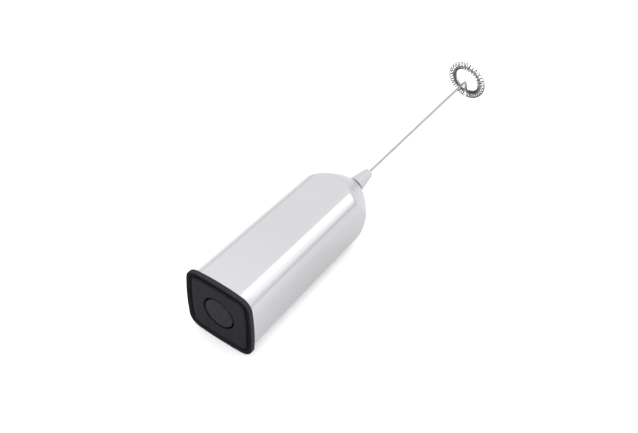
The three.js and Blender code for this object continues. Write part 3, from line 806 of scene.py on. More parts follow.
class Shape:
    """Meshes in the axis frame, each made with bmesh operators."""

    @staticmethod
    def lofted(rows: Sequence[Sequence[Vector]], ends: Ends) -> bmesh.types.BMesh:
        """Extrudes a ring of edges from row to row.

        Args:
            rows: The rows' points, all with the same count.
            ends: Whether the last row joins the first or both are capped.

        Returns:
            The closed mesh.
        """
        bm = bmesh.new()
        column = bm.verts.layers.int.new("column")
        ring = bmesh.ops.create_circle(bm, radius=1, segments=len(rows[0]))["verts"]
        for index, vert in enumerate(ring):
            vert[column] = index
            vert.co = rows[0][index]
        edges = list(bm.edges)
        first = edges
        closing = [rows[0]] if ends is Ends.JOINED else []
        for row in [*rows[1:], *closing]:
            grown = bmesh.ops.extrude_edge_only(bm, edges=edges)["geom"]
            edges = [g for g in grown if isinstance(g, bmesh.types.BMEdge) and g.is_boundary]
            for vert in (g for g in grown if isinstance(g, bmesh.types.BMVert)):
                vert.co = row[vert[column]]
        if ends is Ends.CAPPED:
            bmesh.ops.edgeloop_fill(bm, edges=first)
            bmesh.ops.edgeloop_fill(bm, edges=edges)
        return bm

    @classmethod
    def walled(cls, turns: Sequence[Turn], steps: int = 4) -> bmesh.types.BMesh:
        """Lofts a closed wall whose stretches each run along the axis or straight in or out.

        Args:
            turns: The wall's corners in order; the last joins the first.
            steps: The number of steps in each rounding.

        Returns:
            The closed mesh.
        """
        rows: list[list[Vector]] = []
        sizes = [turn.size for turn in turns]
        count = len(turns)
        for index, turn in enumerate(turns):
            neighbours = (index - 1, (index + 1) % count)
            ways = []
            for other in neighbours:
                along = turns[other].station - turn.station
                if abs(along) > MERGE:
                    ways.append(Vector((0, math.copysign(1, along))))
                else:
                    ways.append(Vector((math.copysign(1, sizes[index] - sizes[other]), 0)))
            back, ahead = ways
            centre = (back + ahead) * turn.rounding
            support = min(0.05, turn.rounding * 0.4)
            rows.append(turn.row(*(back * (turn.rounding + support))))
            for k in range(steps + 1):
                angle = QUARTER * k / steps
                spoke = ahead * -math.cos(angle) + back * -math.sin(angle)
                rows.append(turn.row(*(centre + spoke * turn.rounding)))
            rows.append(turn.row(*(ahead * (turn.rounding + support))))
        return cls.lofted(rows, Ends.JOINED)

    @staticmethod
    def turned(profile: Profile, steps: int = 96, x: float = 0.0) -> bmesh.types.BMesh:
        """Spins a profile about the axis.

        Args:
            profile: The profile, closed on itself or starting and ending on the axis.
            steps: The number of steps round.
            x: How far the spun shape stands across from the axis.

        Returns:
            The closed mesh.
        """
        bm = bmesh.new()
        verts = [bm.verts.new((p.x, p.y, 0)) for p in profile.points()]
        edges = [bm.edges.new(pair) for pair in zip(verts, verts[1:])]
        if profile.closed:
            edges.append(bm.edges.new((verts[-1], verts[0])))
        bmesh.ops.spin(
            bm,
            geom=verts + edges,
            cent=(0, 0, 0),
            axis=(0, 1, 0),
            angle=TAU,
            steps=steps,
            use_merge=True,
            use_duplicate=False,
        )
        bmesh.ops.translate(bm, verts=bm.verts, vec=(x, 0, 0))
        return bm

    @classmethod
    def drawn(cls, path: Sequence[Vector], radius: float, sides: int) -> bmesh.types.BMesh:
        """Draws a round wire along a path, with softened ends.

        Args:
            path: The points of the wire's centre line.
            radius: The wire's radius.
            sides: The number of sides.

        Returns:
            The closed mesh.
        """
        tangents = cls._tangents(path)
        across = tangents[0].orthogonal().normalized()
        rows: list[list[Vector]] = []
        for index, (point, tangent) in enumerate(zip(path, tangents)):
            across = (across - tangent * across.dot(tangent)).normalized()
            other = tangent.cross(across)
            if index == 0:
                rows.append(cls._ring(point, across, other, radius * 0.6, sides))
                point = point + tangent * radius * 0.2
            last = index == len(path) - 1
            centre = point - tangent * radius * 0.2 if last else point
            rows.append(cls._ring(centre, across, other, radius, sides))
            if last:
                rows.append(cls._ring(point, across, other, radius * 0.6, sides))
        return cls.lofted(rows, Ends.CAPPED)

    @staticmethod
    def _tangents(path: Sequence[Vector]) -> list[Vector]:
        """The path's direction at each of its points."""
        last = len(path) - 1
        return [(path[min(k + 1, last)] - path[max(k - 1, 0)]).normalized() for k in range(last + 1)]

    @staticmethod
    def _ring(centre: Vector, across: Vector, other: Vector, radius: float, sides: int) -> list[Vector]:
        """The points of a circle about a centre."""
        turns = (TAU * k / sides for k in range(sides))
        return [centre + (across * math.cos(t) + other * math.sin(t)) * radius for t in turns]

    @staticmethod
    def plate(
        loops: Sequence[Sequence[Vector]], start: float, end: float, rounding: float
    ) -> bmesh.types.BMesh:
        """A flat plate across the axis, with holes and softened edges.

        Args:
            loops: The outline and then the holes, as (x, z) points.
            start: The plate's first station.
            end: The plate's last station.
            rounding: The radius on the plate's edges.

        Returns:
            The closed mesh.
        """
        flat = bpy.data.curves.new("plate", "CURVE")
        flat.dimensions = "2D"
        flat.fill_mode = "BOTH"
        flat.extrude = (end - start) / 2 - rounding
        flat.bevel_depth = rounding
        flat.bevel_resolution = 1
        flat.offset = -rounding
        for loop in loops:
            spline = flat.splines.new("POLY")
            spline.points.add(len(loop) - 1)
            for point, place in zip(spline.points, loop):
                point.co = (place.x, place.y, 0, 1)
            spline.use_cyclic_u = True
        holder = bpy.data.objects.new("plate", flat)
        bpy.context.scene.collection.objects.link(holder)
        bpy.context.view_layer.update()
        evaluated = holder.evaluated_get(bpy.context.evaluated_depsgraph_get())
        mesh = bpy.data.meshes.new_from_object(evaluated)
        bm = bmesh.new()
        bm.from_mesh(mesh)
        stand = Matrix.Translation((0, (start + end) / 2, 0)) @ Matrix.Rotation(QUARTER, 4, "X")
        bmesh.ops.transform(bm, matrix=stand, verts=bm.verts)
        bpy.data.objects.remove(holder)
        bpy.data.curves.remove(flat)
        bpy.data.meshes.remove(mesh)
        return bm


def helix(
    start: float,
    end: float,
    radii: tuple[float, float],
    turns: float,
    x: float = 0.0,
    dead: float = 0.0,
    per_turn: int = 28,
) -> list[Vector]:
    """The centre line of a spring along the axis.

    Args:
        start: The first station.
        end: The last station.
        radii: The radius at the start and at the end.
        turns: The number of turns, dead ones included.
        x: How far the spring stands across from the axis.
        dead: The number of flat turns at each end.
        per_turn: The number of points in a turn.

    Returns:
        The points.
    """
    count = round(turns * per_turn)
    points = []
    for k in range(count + 1):
        turn = turns * k / count
        rise = min(max((turn - dead) / (turns - 2 * dead), 0), 1)
        radius = radii[0] + (radii[1] - radii[0]) * k / count
        angle = TAU * turn
        station = start + (end - start) * rise
        points.append(Vector((x + radius * math.cos(angle), station, radius * math.sin(angle))))
    return points


def circle(radius: float, x: float = 0.0, points: int = 64) -> list[Vector]:
    """A circle as (x, z) points."""
    angles = (TAU * k / points for k in range(points))
    return [Vector((x + radius * math.cos(a), radius * math.sin(a))) for a in angles]


# ---------------------------------------------------------------------------- pieces


@dataclass
class Workshop:
    """Turns meshes in the axis frame into pieces that ride on their bodies.

    Args:
        nodes: The frame's CAD nodes by name.
        finishes: The finishes.
    """

    nodes: Mapping[str, bpy.types.Object]
    finishes: Finishes
    made: list[bpy.types.Object] = field(default_factory=list)

    def piece(
        self,
        bm: bmesh.types.BMesh,
        name: str,
        node: str,
        materials: Sequence[bpy.types.Material],
        choose: Callable[[bmesh.types.BMFace], int] | None = None,
    ) -> bpy.types.Object:
        """Finishes a mesh as the piece that stands for a CAD node.

        Args:
            bm: The mesh in the axis frame, which is used up.
            name: The piece's name.
            node: The CAD node that it replaces, whose body it rides on.
            materials: The piece's materials.
            choose: Gives a face's material number, or 0 for all faces when left out.

        Returns:
            The piece.
        """
        bmesh.ops.remove_doubles(bm, verts=bm.verts, dist=MERGE)
        bmesh.ops.recalc_face_normals(bm, faces=bm.faces)
        loose = [e for e in bm.edges if not e.is_manifold]
        for face in bm.faces:
            face.smooth = True
            face.material_index = choose(face) if choose else 0
        bmesh.ops.transform(bm, matrix=AXIS.matrix, verts=bm.verts)
        mesh = bpy.data.meshes.new(name)
        bm.to_mesh(mesh)
        bm.free()
        mesh.set_sharp_from_angle(angle=SHARP_EDGE)
        for material in materials:
            mesh.materials.append(material)
        made = bpy.data.objects.new(name, mesh)
        bpy.context.scene.collection.objects.link(made)
        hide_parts(node)
        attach(made, self.nodes[node]["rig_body"])
        self.made.append(made)
        log.info("%s: %d faces, %d open edges", name, len(mesh.polygons), len(loose))
        return made

    def dress(self, material: bpy.types.Material, *names: str) -> None:
        """Gives CAD nodes that stay as they are a better material.

        Args:
            material: The material.
            names: The nodes' names.
        """
        for name in names:
            slots = self.nodes[name].material_slots
            for slot in slots:
                slot.material = material
            log.info("%s: carried over as %s", name, material.name)


@dataclass
class Housing:
    """The tapered shell with its arched dome, and the bush in its nose.

    Args:
        corner: The shell's corner radius.
        crown: The radius of its sides.
        taper: How much half the width loses over a millimetre of length.
        wall: The wall's thickness.
        arc: The radius of the dome's arc.
        arc_station: The station of the arc's centre.
        arc_offset: How far past the axis the arc's centre lies.
        crease: How far the crease between sides and dome is softened.
        nose_hole: The radius of the hole in the nose.
        lip: The rounding on the mouth's edge.
    """

    corner: float = 11.4
    crown: float = 120
    taper: float = 0.0249
    wall: float = 1.3
    arc: float = 39.9
    arc_station: float = 71.3
    arc_offset: float = 16.6
    crease: float = 0.6
    nose_hole: float = 3.0
    lip: float = 0.25
    box: Extent = field(default_factory=lambda: Extent.of("housing_shell"))

    def scale(self, station: float) -> float:
        """The share of the mouth's width that is left at a station."""
        return 1 - self.taper * (station - self.box.start) / self.box.half_width

    def dome(self, station: float, inset: float) -> float:
        """The dome's radius at a station."""
        along = max(station - self.arc_station, 0)
        return math.sqrt((self.arc - inset) ** 2 - along * along) - self.arc_offset

    def side_station(self, reach: float, inset: float, gap: float) -> float:
        """The station where the side stands a gap further out than the dome.

        Args:
            reach: The side's distance from the axis at the mouth.
            inset: How far the surface is moved in.
            gap: The side's radius less the dome's.

        Returns:
            The station, found by halving.
        """
        low, high = self.arc_station, self.box.end
        for _ in range(40):
            middle = (low + high) / 2
            if reach * self.scale(middle) - self.dome(middle, inset) < gap:
                low = middle
            else:
                high = middle
        return low

    def surface(self, column: Vector, station: float, inset: float) -> Vector:
        """The point of the outer or inner surface on one column at a station."""
        side = column.length * self.scale(station)
        dome = self.dome(station, inset)
        overlap = max(self.crease - abs(side - dome), 0) / self.crease
        radius = min(side, dome) - overlap * overlap * self.crease / 4
        place = column.normalized() * radius
        return Vector((place.x, station, place.y))

    def wall_rows(
        self, inset: float, start: float, nose: float, side_rows: int, dome_rows: int
    ) -> list[list[Vector]]:
        """Rows from the mouth to the nose, with close rows along the crease.

        Args:
            inset: How far the surface is moved in.
            start: The first station.
            nose: The last station.
            side_rows: The number of rows on the sides.
            dome_rows: The number of rows on the dome.

        Returns:
            The rows.
        """
        outline = CrownedSquare(self.box.half_width, self.corner, self.crown)
        columns = outline.points(inset)
        gaps = [self.crease * g for g in (-1, -0.7, -0.45, -0.25, -0.08, 0.08, 0.25, 0.45, 0.7, 1)]
        creases = [[self.side_station(c.length, inset, gap) for c in columns] for gap in gaps]
        rows = []
        for k in range(side_rows):
            share = k / side_rows
            stations = [start + (s - start) * share for s in creases[0]]
            rows.append([self.surface(c, s, inset) for c, s in zip(columns, stations)])
        for stations in creases:
            rows.append([self.surface(c, s, inset) for c, s in zip(columns, stations)])
        for k in range(1, dome_rows + 1):
            share = math.sin(QUARTER * k / dome_rows)
            stations = [s + (nose - s) * share for s in creases[-1]]
            rows.append([self.surface(c, s, inset) for c, s in zip(columns, stations)])
        return rows

    def shell(self) -> bmesh.types.BMesh:
        """The shell as one closed wall from its mouth to the hole in its nose and back."""
        outline = CrownedSquare(self.box.half_width, self.corner, self.crown)
        start, nose = self.box.start, self.box.end
        nose_wall = 1.5
        edge = 0.35
        outer = self.wall_rows(0, start + self.lip, nose - edge, 14, 30)
        inner = self.wall_rows(self.wall, start + self.lip, nose - nose_wall - 0.2, 8, 16)
        edge_radius = self.dome(nose - edge, 0)
        roundings = ((0.16, 0.16), (0.4, 0.29), (0.75, edge))
        round_edge = [self.ring(outline, edge_radius - d, nose - edge + h) for d, h in roundings]
        hole = Round(self.nose_hole, outline)
        rim = [
            Turn(hole, -0.5, nose).row(0, 0),
            Turn(hole, -0.15, nose).row(0, 0),
            Turn(hole, -0.04, nose - 0.04).row(0, 0),
            Turn(hole, 0, nose - 0.15).row(0, 0),
            Turn(hole, 0, nose - nose_wall).row(0, 0),
        ]
        lip_out = self.lip_rows(outline, 0, start)
        lip_in = self.lip_rows(outline, self.wall, start)
        rows = [*lip_out, *outer, *round_edge, *rim, *reversed(inner), *reversed(lip_in)]
        return Shape.lofted(rows, Ends.JOINED)

    def lip_rows(self, outline: CrownedSquare, inset: float, start: float) -> list[list[Vector]]:
        """The rounded edge of the mouth on one side of the wall."""
        way = 1 if inset == 0 else -1
        rows = []
        for k in range(4):
            angle = QUARTER * k / 4
            moved = inset + way * self.lip * (1 - math.sin(angle))
            station = start + self.lip * (1 - math.cos(angle))
            rows.append([Vector((p.x, station, p.y)) for p in outline.points(moved)])
        return rows

    @staticmethod
    def ring(outline: Section, radius: float, station: float) -> list[Vector]:
        """A circle with one point on each of an outline's columns."""
        return [Vector((p.x, station, p.y)) for p in Round(radius, outline).points(0)]

    def bush(self) -> bmesh.types.BMesh:
        """The bush that closes the nose round the motor's shaft."""
        box = Extent.of("nose_bush")
        bore, collar, neck = 1.3, box.half_width, self.nose_hole - 0.1
        shoulder = self.box.end - 1.6
        return Shape.turned(Profile([
            Corner(bore, box.start, 0.15),
            Corner(collar, box.start, 0.2),
            Corner(collar, shoulder, 0.15),
            Corner(neck, shoulder, 0.05),
            Corner(neck, box.end, 0.1),
            Corner(bore, box.end, 0.15),
        ], closed=True))

    def build(self, shop: Workshop) -> None:
        """Builds and dresses the housing's pieces."""
        looks = shop.finishes
        shop.piece(self.shell(), "housing_shell_fine", "housing_shell", [looks.silver])
        # The nose bush wears the darkened black: painted shade of the gap under the hub.
        shop.piece(self.bush(), "nose_bush_fine", "nose_bush", [looks.dark])


@dataclass
class EndCap:
    """The black end cap: plate and skirt, rubber rim, panel, and the battery contacts behind it.

    Args:
        corner: The flange's corner radius.
        crown: The radius of the flange's sides.
        rim_width: The rim's width.
        groove: The groove's width between rim and panel; not used.
        well: The radius of the button's well.
        well_wall: The well's wall.
        skirt_wall: The skirt's wall.
        stem_hole: The radius of the hole that guides the button's stem.
        housing: The housing that the skirt plugs into.
    """

    housing: Housing
    corner: float = 6.8
    crown: float = 140
    rim_width: float = 1.4
    groove: float = 1.9
    well: float = 9.25
    well_wall: float = 1.2
    skirt_wall: float = 1.4
    stem_hole: float = 1.95

    @property
    def flange(self) -> CrownedSquare:
        """The flange's outline."""
        return CrownedSquare(Extent.of("cap_rim").half_width, self.corner, self.crown)

    @property
    def mouth(self) -> CrownedSquare:
        """The housing's outline at its mouth."""
        return CrownedSquare(self.housing.box.half_width, self.housing.corner, self.housing.crown)

    def rim(self) -> bmesh.types.BMesh:
        """The soft rim round the cap's face."""
        box = Extent.of("cap_rim")
        flange = self.flange
        return Shape.walled([
            Turn(flange, 0, box.end, 0.35),
            Turn(flange, 0, box.start, 0.8),
            Turn(flange, self.rim_width, box.start, 0.4),
            Turn(flange, self.rim_width, box.end, 0.2),
        ], steps=6)

    def panel(self) -> bmesh.types.BMesh:
        """The raised square panel with the button's opening."""
        box = Extent.of("cap_panel")
        flange = self.flange
        inset = flange.half - box.half_width
        opening = Round(self.well, flange)
        return Shape.walled([
            Turn(flange, inset, box.end, 0.15),
            Turn(flange, inset, box.start, 1.1),
            Turn(opening, 0, box.start, 0.3),
            Turn(opening, 0, box.end, 0.15),
        ], steps=6)

    def body(self) -> bmesh.types.BMesh:
        """The plate behind the panel, the skirt and the well, as one moulding."""
        box = Extent.of("end_cap")
        flange, mouth = self.flange, self.mouth
        plate_inset = self.rim_width + 0.1
        plate_end = Extent.of("cap_rim").end
        skirt_inset = 1.9
        floor = 4.0
        well_floor = 6.4
        well_back = well_floor + 1
        opening = Round(self.well, flange)
        outside = Round(self.well + self.well_wall, flange)
        guide = Round(self.stem_hole, flange)
        return Shape.walled([
            Turn(opening, 0, box.start, 0.12),
            Turn(flange, plate_inset, box.start, 0.1),
            Turn(flange, plate_inset, plate_end, 0.1),
            Turn(mouth, skirt_inset, plate_end, 0.05),
            Turn(mouth, skirt_inset, box.end, 0.4),
            Turn(mouth, skirt_inset + self.skirt_wall, box.end, 0.3),
            Turn(mouth, skirt_inset + self.skirt_wall, floor, 0.3),
            Turn(outside, 0, floor, 0.3),
            Turn(outside, 0, well_back, 0.25),
            Turn(guide, 0, well_back, 0.15),
            Turn(guide, 0, well_floor, 0.15),
            Turn(opening, 0, well_floor, 0.3),
        ])

    def carrier(self) -> bmesh.types.BMesh:
        """The insulating plate inside the skirt."""
        box = Extent.of("contact_carrier")
        outline = self.mouth.points(self.housing.box.half_width - box.half_width)
        spring_hole, stem_hole, offset = 5.7, 3.4, 9.4
        holes = [circle(stem_hole), circle(spring_hole, -offset), circle(spring_hole, offset)]
        return Shape.plate([outline, *holes], box.start, box.end, 0.18)

    def contact(self, side: str) -> bmesh.types.BMesh:
        """One contact plate with its relief round the button's stem."""
        box = Extent.of(f"cap_contact_{side}")
        way = math.copysign(1, box.centre_x)
        inner = min(abs(box.low.x), abs(box.high.x))
        outer = max(abs(box.low.x), abs(box.high.x))
        high = box.high.z
        relief, rounding = 3.4, 1.4
        meet = math.acos(inner / relief)
        angles = (meet * (k / 6 - 1) for k in range(13))
        loop = [Vector((relief * math.cos(a), relief * math.sin(a))) for a in angles]
        loop.append(Vector((inner, high)))
        for centre_z, first in ((high - rounding, QUARTER), (rounding - high, 0)):
            for k in range(7):
                angle = first - QUARTER * k / 6
                loop.append(Vector((
                    outer - rounding + rounding * math.cos(angle),
                    centre_z + rounding * math.sin(angle),
                )))
        loop.append(Vector((inner, -high)))
        placed = [Vector((way * p.x, p.y)) for p in loop]
        return Shape.plate([placed], box.start, box.end, 0.06)

    def contact_spring(self, side: str) -> bmesh.types.BMesh:
        """One conical battery spring."""
        box = Extent.of(f"cap_spring_{side}")
        wire = 0.3
        base = box.half_width - wire
        x = math.copysign(8.6, box.centre_x)
        line = helix(box.start + wire, box.end - wire, (base, 2.4), 4.5, x, dead=0.5)
        return Shape.drawn(line, wire, 12)

    def build(self, shop: Workshop) -> None:
        """Builds and dresses the cap's pieces."""
        looks = shop.finishes
        # The end cap's moulding wears the darkened black: painted shade at the groove floor.
        shop.piece(self.body(), "end_cap_fine", "end_cap", [looks.dark])
        shop.piece(self.rim(), "cap_rim_fine", "cap_rim", [looks.rubber])
        shop.piece(self.panel(), "cap_panel_fine", "cap_panel", [looks.black])
        shop.piece(self.carrier(), "contact_carrier_fine", "contact_carrier", [looks.grey])
        for side in ("left", "right"):
            contact, spring = f"cap_contact_{side}", f"cap_spring_{side}"
            shop.piece(self.contact(side), f"{contact}_fine", contact, [looks.nickel])
            shop.piece(self.contact_spring(side), f"{spring}_fine", spring, [looks.nickel])


@dataclass
class PushButton:
    """The button with its stem, its return spring, and the bridge that closes the circuit.

    Args:
        rounding: The rounding on the head's edge.
        crown: How far the head's middle stands proud of its edge.
        stem: The stem's radius.
        head: The head's depth.
    """

    rounding: float = 0.45
    crown: float = 0.08
    stem: float = 1.8
    head: float = 2.0

    def cap(self) -> bmesh.types.BMesh:
        """The head and the stem."""
        box = Extent.of("button")
        back = box.start + self.head
        return Shape.turned(Profile([
            Corner(0, box.start),
            Corner(box.half_width * 0.5, box.start, 2.0),
            Corner(box.half_width, box.start + self.crown, self.rounding),
            Corner(box.half_width, back, 0.2),
            Corner(self.stem, back, 0.2),
            Corner(self.stem, box.end, 0.2),
            Corner(0, box.end),
        ], closed=False, steps=6))

    def spring(self) -> bmesh.types.BMesh:
        """The return spring."""
        box = Extent.of("button_spring")
        wire = 0.3
        line = helix(box.start + wire, box.end - wire, (box.half_width - wire,) * 2, 4, dead=0.6)
        return Shape.drawn(line, wire, 12)

    def washer(self, node: str, bore: float, rounding: float) -> bmesh.types.BMesh:
        """A flat ring on the stem."""
        box = Extent.of(node)
        radius = box.half_width
        return Shape.turned(Profile([
            Corner(bore, box.start, rounding),
            Corner(radius, box.start, rounding),
            Corner(radius, box.end, rounding),
            Corner(bore, box.end, rounding),
        ], closed=True, steps=3))

    def build(self, shop: Workshop) -> None:
        """Builds and dresses the button's pieces."""
        looks = shop.finishes
        bore = self.stem + 0.1
        spring = Extent.of("button_spring")
        shop.piece(self.cap(), "button_fine", "button", [looks.pad])
        bridge = self.washer("contact_bridge", bore, 0.1)
        shop.piece(bridge, "contact_bridge_fine", "contact_bridge", [looks.brass])
        clip = self.washer("bridge_clip", bore, 0.08)
        shop.piece(clip, "bridge_clip_fine", "bridge_clip", [looks.steel])
        coil = shop.piece(self.spring(), "button_spring_fine", "button_spring", [looks.steel])
        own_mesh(coil)


@dataclass
class Battery:
    """Two AA cells, side by side and head to tail.

    Args:
        shoulder: The rounding at the sleeve's ends.
        nub: The radius of the small terminal.
        nub_height: How far the small terminal stands out.
        fold: How far the sleeve folds in over the can's ends.
    """

    shoulder: float = 0.7
    nub: float = 2.6
    nub_height: float = 1.2
    fold: float = 1.5

    def cell(self, box: Extent, nub_first: bool) -> bmesh.types.BMesh:
        """One cell, with its sleeve folded over the can's two ends."""
        length = box.end - box.start
        radius = box.half_width
        shoulder = length - self.nub_height
        can = radius - self.fold
        along = [
            Corner(0, 0.15),
            Corner(can - 0.4, 0.15, 0.3),
            Corner(can, 0.3, 0.1),
            Corner(can, 0, 0.1),
            Corner(radius, 0, self.shoulder),
            Corner(radius, shoulder, self.shoulder),
            Corner(can - 0.5, shoulder, 0.1),
            Corner(can - 0.5, shoulder - 0.3, 0.1),
            Corner(self.nub + 1.2, shoulder - 0.2, 0.3),
            Corner(self.nub, shoulder, 0.3),
            Corner(self.nub, length, 0.35),
            Corner(0, length),
        ]
        origin, way = (box.end, -1) if nub_first else (box.start, 1)
        placed = [Corner(c.radius, origin + way * c.station, c.rounding) for c in along]
        return Shape.turned(Profile(placed, closed=False, steps=4), x=box.centre_x)

    def build(self, shop: Workshop) -> None:
        """Builds and dresses the cells."""
        sleeve_colour, band_colour = (0.014, 0.031, 0.075), (0.32, 0.33, 0.35)
        for side in ("left", "right"):
            node = f"cell_{side}"
            box = Extent.of(node)
            nub_first = side == "right"
            band = (box.start + 2, box.start + 13) if nub_first else (box.end - 14, box.end - 3)
            sleeve = CellSleeve(f"sleeve_{side}", sleeve_colour, band_colour, *band).material()
            edge = box.half_width - self.fold - 0.45
            centre = box.centre_x

            def chosen(face: bmesh.types.BMFace, edge: float = edge, centre: float = centre) -> int:
                """The sleeve outside the fold, and bare metal inside it."""
                middle = face.calc_center_median()
                return 0 if math.hypot(middle.x - centre, middle.z) > edge else 1

            materials = [sleeve, shop.finishes.nickel]
            shop.piece(self.cell(box, nub_first), f"{node}_fine", node, materials, chosen)


@dataclass
class Whisk:
    """The whisk: hub, bent wire and the coil wound on the wire's ring.

    Args:
        hub_rounding: The rounding at the hub's tip.
        wire: The wire's radius.
        ring_station: The station of the ring's plane.
        ring: The radius of the coil's middle line.
        coil: The radius of the coil's turns.
        coil_wire: The coil wire's radius.
        coil_turns: The number of turns.
        bend: The radius of the bend from the axis to the spoke.
        fillet: The radius of the bend from the spoke to the ring.
        core: The radius of the wire's ring.
        set_back: How far before the ring's plane the spoke leaves the axis.
        opening: The angle that the coil leaves open at the spoke, in degrees.
        crowding: How far the coil's turns crowd towards its ends.
    """

    hub_tip: float = 2.42
    hub_rounding: float = 1.2
    wire: float = 0.7
    ring_station: float = 205.5
    ring: float = 9.1
    coil: float = 1.86
    coil_wire: float = 0.24
    coil_turns: int = 37
    bend: float = 1.6
    fillet: float = 1.5
    core: float = 8.3
    set_back: float = 1.2
    opening: float = 7
    crowding: float = 0.3

    def hub(self) -> bmesh.types.BMesh:
        """The tapered hub with its two bores."""
        box = Extent.of("whisk_hub")
        step = Extent.of("motor_shaft").end + 0.4
        shaft_bore, wire_bore = 1.06, self.wire + 0.05
        return Shape.turned(Profile([
            Corner(shaft_bore, box.start, 0.1),
            Corner(box.half_width, box.start, 0.3),
            Corner(self.hub_tip, box.end, self.hub_rounding),
            Corner(wire_bore, box.end, 0.08),
            Corner(wire_bore, step),
            Corner(shaft_bore, step),
        ], closed=True, steps=8))

    def shaft(self) -> bmesh.types.BMesh:
        """The motor's shaft."""
        box = Extent.of("motor_shaft")
        radius = box.half_width
        return Shape.turned(Profile([
            Corner(0, box.start),
            Corner(radius, box.start, 0.15),
            Corner(radius, box.end, 0.15),
            Corner(0, box.end),
        ], closed=False, steps=3), steps=48)

    @staticmethod
    def arc(
        centre: Vector, first: Vector, second: Vector, radius: float, span: tuple[float, float], count: int
    ) -> list[Vector]:
        """Points along a circular arc.

        Args:
            centre: The arc's centre.
            first: The direction at no angle.
            second: The direction at a quarter turn.
            radius: The arc's radius.
            span: The first and the last angle.
            count: The number of steps.

        Returns:
            The points, without the first one.
        """
        angles = (span[0] + (span[1] - span[0]) * k / count for k in range(1, count + 1))
        return [centre + (first * math.cos(a) + second * math.sin(a)) * radius for a in angles]

    def wire_line(self) -> list[Vector]:
        """The wire's way along the axis, down the spoke and round the ring."""
        start = Extent.of("whisk_wire").start
        bend_end = self.ring_station - self.set_back
        bend_start = bend_end - self.bend
        reach = math.sqrt((self.core - self.fillet) ** 2 - self.fillet**2)
        across, onward, up = Vector((1, 0, 0)), Vector((0, 1, 0)), Vector((0, 0, 1))
        plane = Vector((0, self.ring_station, 0))
        meet = -math.atan2(reach, self.fillet)
        line = [Vector((0, start + (bend_start - start) * k / 40, 0)) for k in range(41)]
        line += self.arc(Vector((0, bend_start, -self.bend)), up, onward, self.bend, (0, QUARTER), 10)
        spoke = Vector((0, bend_end, -self.bend)), plane - up * reach
        line += [spoke[0].lerp(spoke[1], k / 5) for k in range(1, 6)]
        fillet_centre = plane + across * self.fillet - up * reach
        line += self.arc(fillet_centre, across, up, self.fillet, (math.pi, TAU + meet), 8)
        line += self.arc(plane, across, up, self.core, (meet, math.radians(254)), 120)
        return line

    def coil_line(self) -> list[Vector]:
        """The coil's way round the ring, open where the spoke comes in."""
        gap = math.radians(self.opening / 2)
        count = self.coil_turns * 18
        points = []
        for k in range(count + 1):
            share = k / count
            crowded = share - self.crowding * math.sin(TAU * share) / TAU
            about = -QUARTER + gap + (TAU - 2 * gap) * crowded
            wound = TAU * self.coil_turns * share
            radius = self.ring + self.coil * math.cos(wound)
            station = self.ring_station + self.coil * math.sin(wound)
            points.append(Vector((radius * math.cos(about), station, radius * math.sin(about))))
        return points

    def build(self, shop: Workshop) -> None:
        """Builds and dresses the whisk's pieces."""
        looks = shop.finishes
        shop.piece(self.hub(), "whisk_hub_fine", "whisk_hub", [looks.matt_silver])
        shop.piece(self.shaft(), "motor_shaft_fine", "motor_shaft", [looks.steel])
        wire = Shape.drawn(self.wire_line(), self.wire, 20)
        shop.piece(wire, "whisk_wire_fine", "whisk_wire", [looks.steel])
        coil = Shape.drawn(self.coil_line(), self.coil_wire, 8)
        shop.piece(coil, "whisk_coil_fine", "whisk_coil", [looks.coil])


@dataclass
class Works:
    """The pieces inside the housing that keep their CAD shape."""

    def build(self, shop: Workshop) -> None:
        """Dresses the motor, the armature and the battery bay."""
        looks = shop.finishes
        shop.dress(looks.grey, "battery_cradle", "motor_bracket")
        shop.dress(looks.nickel, "front_contact_left", "front_contact_right", "motor_can")
        shop.dress(looks.white, "motor_end_bell")
        shop.dress(looks.copper, "motor_terminal_left", "motor_terminal_right", "commutator")
        shop.dress(looks.brass, "motor_bearing")
        shop.dress(looks.ferrite, "magnet_left", "magnet_right")
        shop.dress(looks.steel, "bracket_screw_1", "bracket_screw_2")
        shop.dress(looks.red, "lead_red")
        shop.dress(looks.sheath, "lead_black")
        shop.dress(looks.iron, "armature_core")
        shop.dress(looks.winding, *(f"armature_winding_{k}" for k in (1, 2, 3)))


# ---------------------------------------------------------------------------- studio


@dataclass(frozen=True)
class Softbox:
    """A rectangular area light that faces the frother.

    Args:
        name: The light's name.
        bearing: The direction it stands in, in degrees from +X towards +Y.
        elevation: How high it stands, in degrees.
        distance: Its distance, in metres.
        size: Its width and height, in metres.
        power: Its power, in watts.
    """

    name: str
    bearing: float
    elevation: float
    distance: float
    size: tuple[float, float]
    power: float

    def build(self, aim: Vector) -> None:
        """Hangs the light and turns it to a point."""
        data = bpy.data.lights.new(self.name, "AREA")
        data.shape = "RECTANGLE"
        data.size, data.size_y = self.size
        data.energy = self.power
        bearing, elevation = math.radians(self.bearing), math.radians(self.elevation)
        way = Vector((
            math.cos(bearing) * math.cos(elevation),
            math.sin(bearing) * math.cos(elevation),
            math.sin(elevation),
        ))
        lamp = bpy.data.objects.new(self.name, data)
        turned = way.to_track_quat("Z", "Y").to_matrix().to_4x4()
        lamp.matrix_world = Matrix.Translation(aim + way * self.distance) @ turned
        bpy.context.scene.collection.objects.link(lamp)


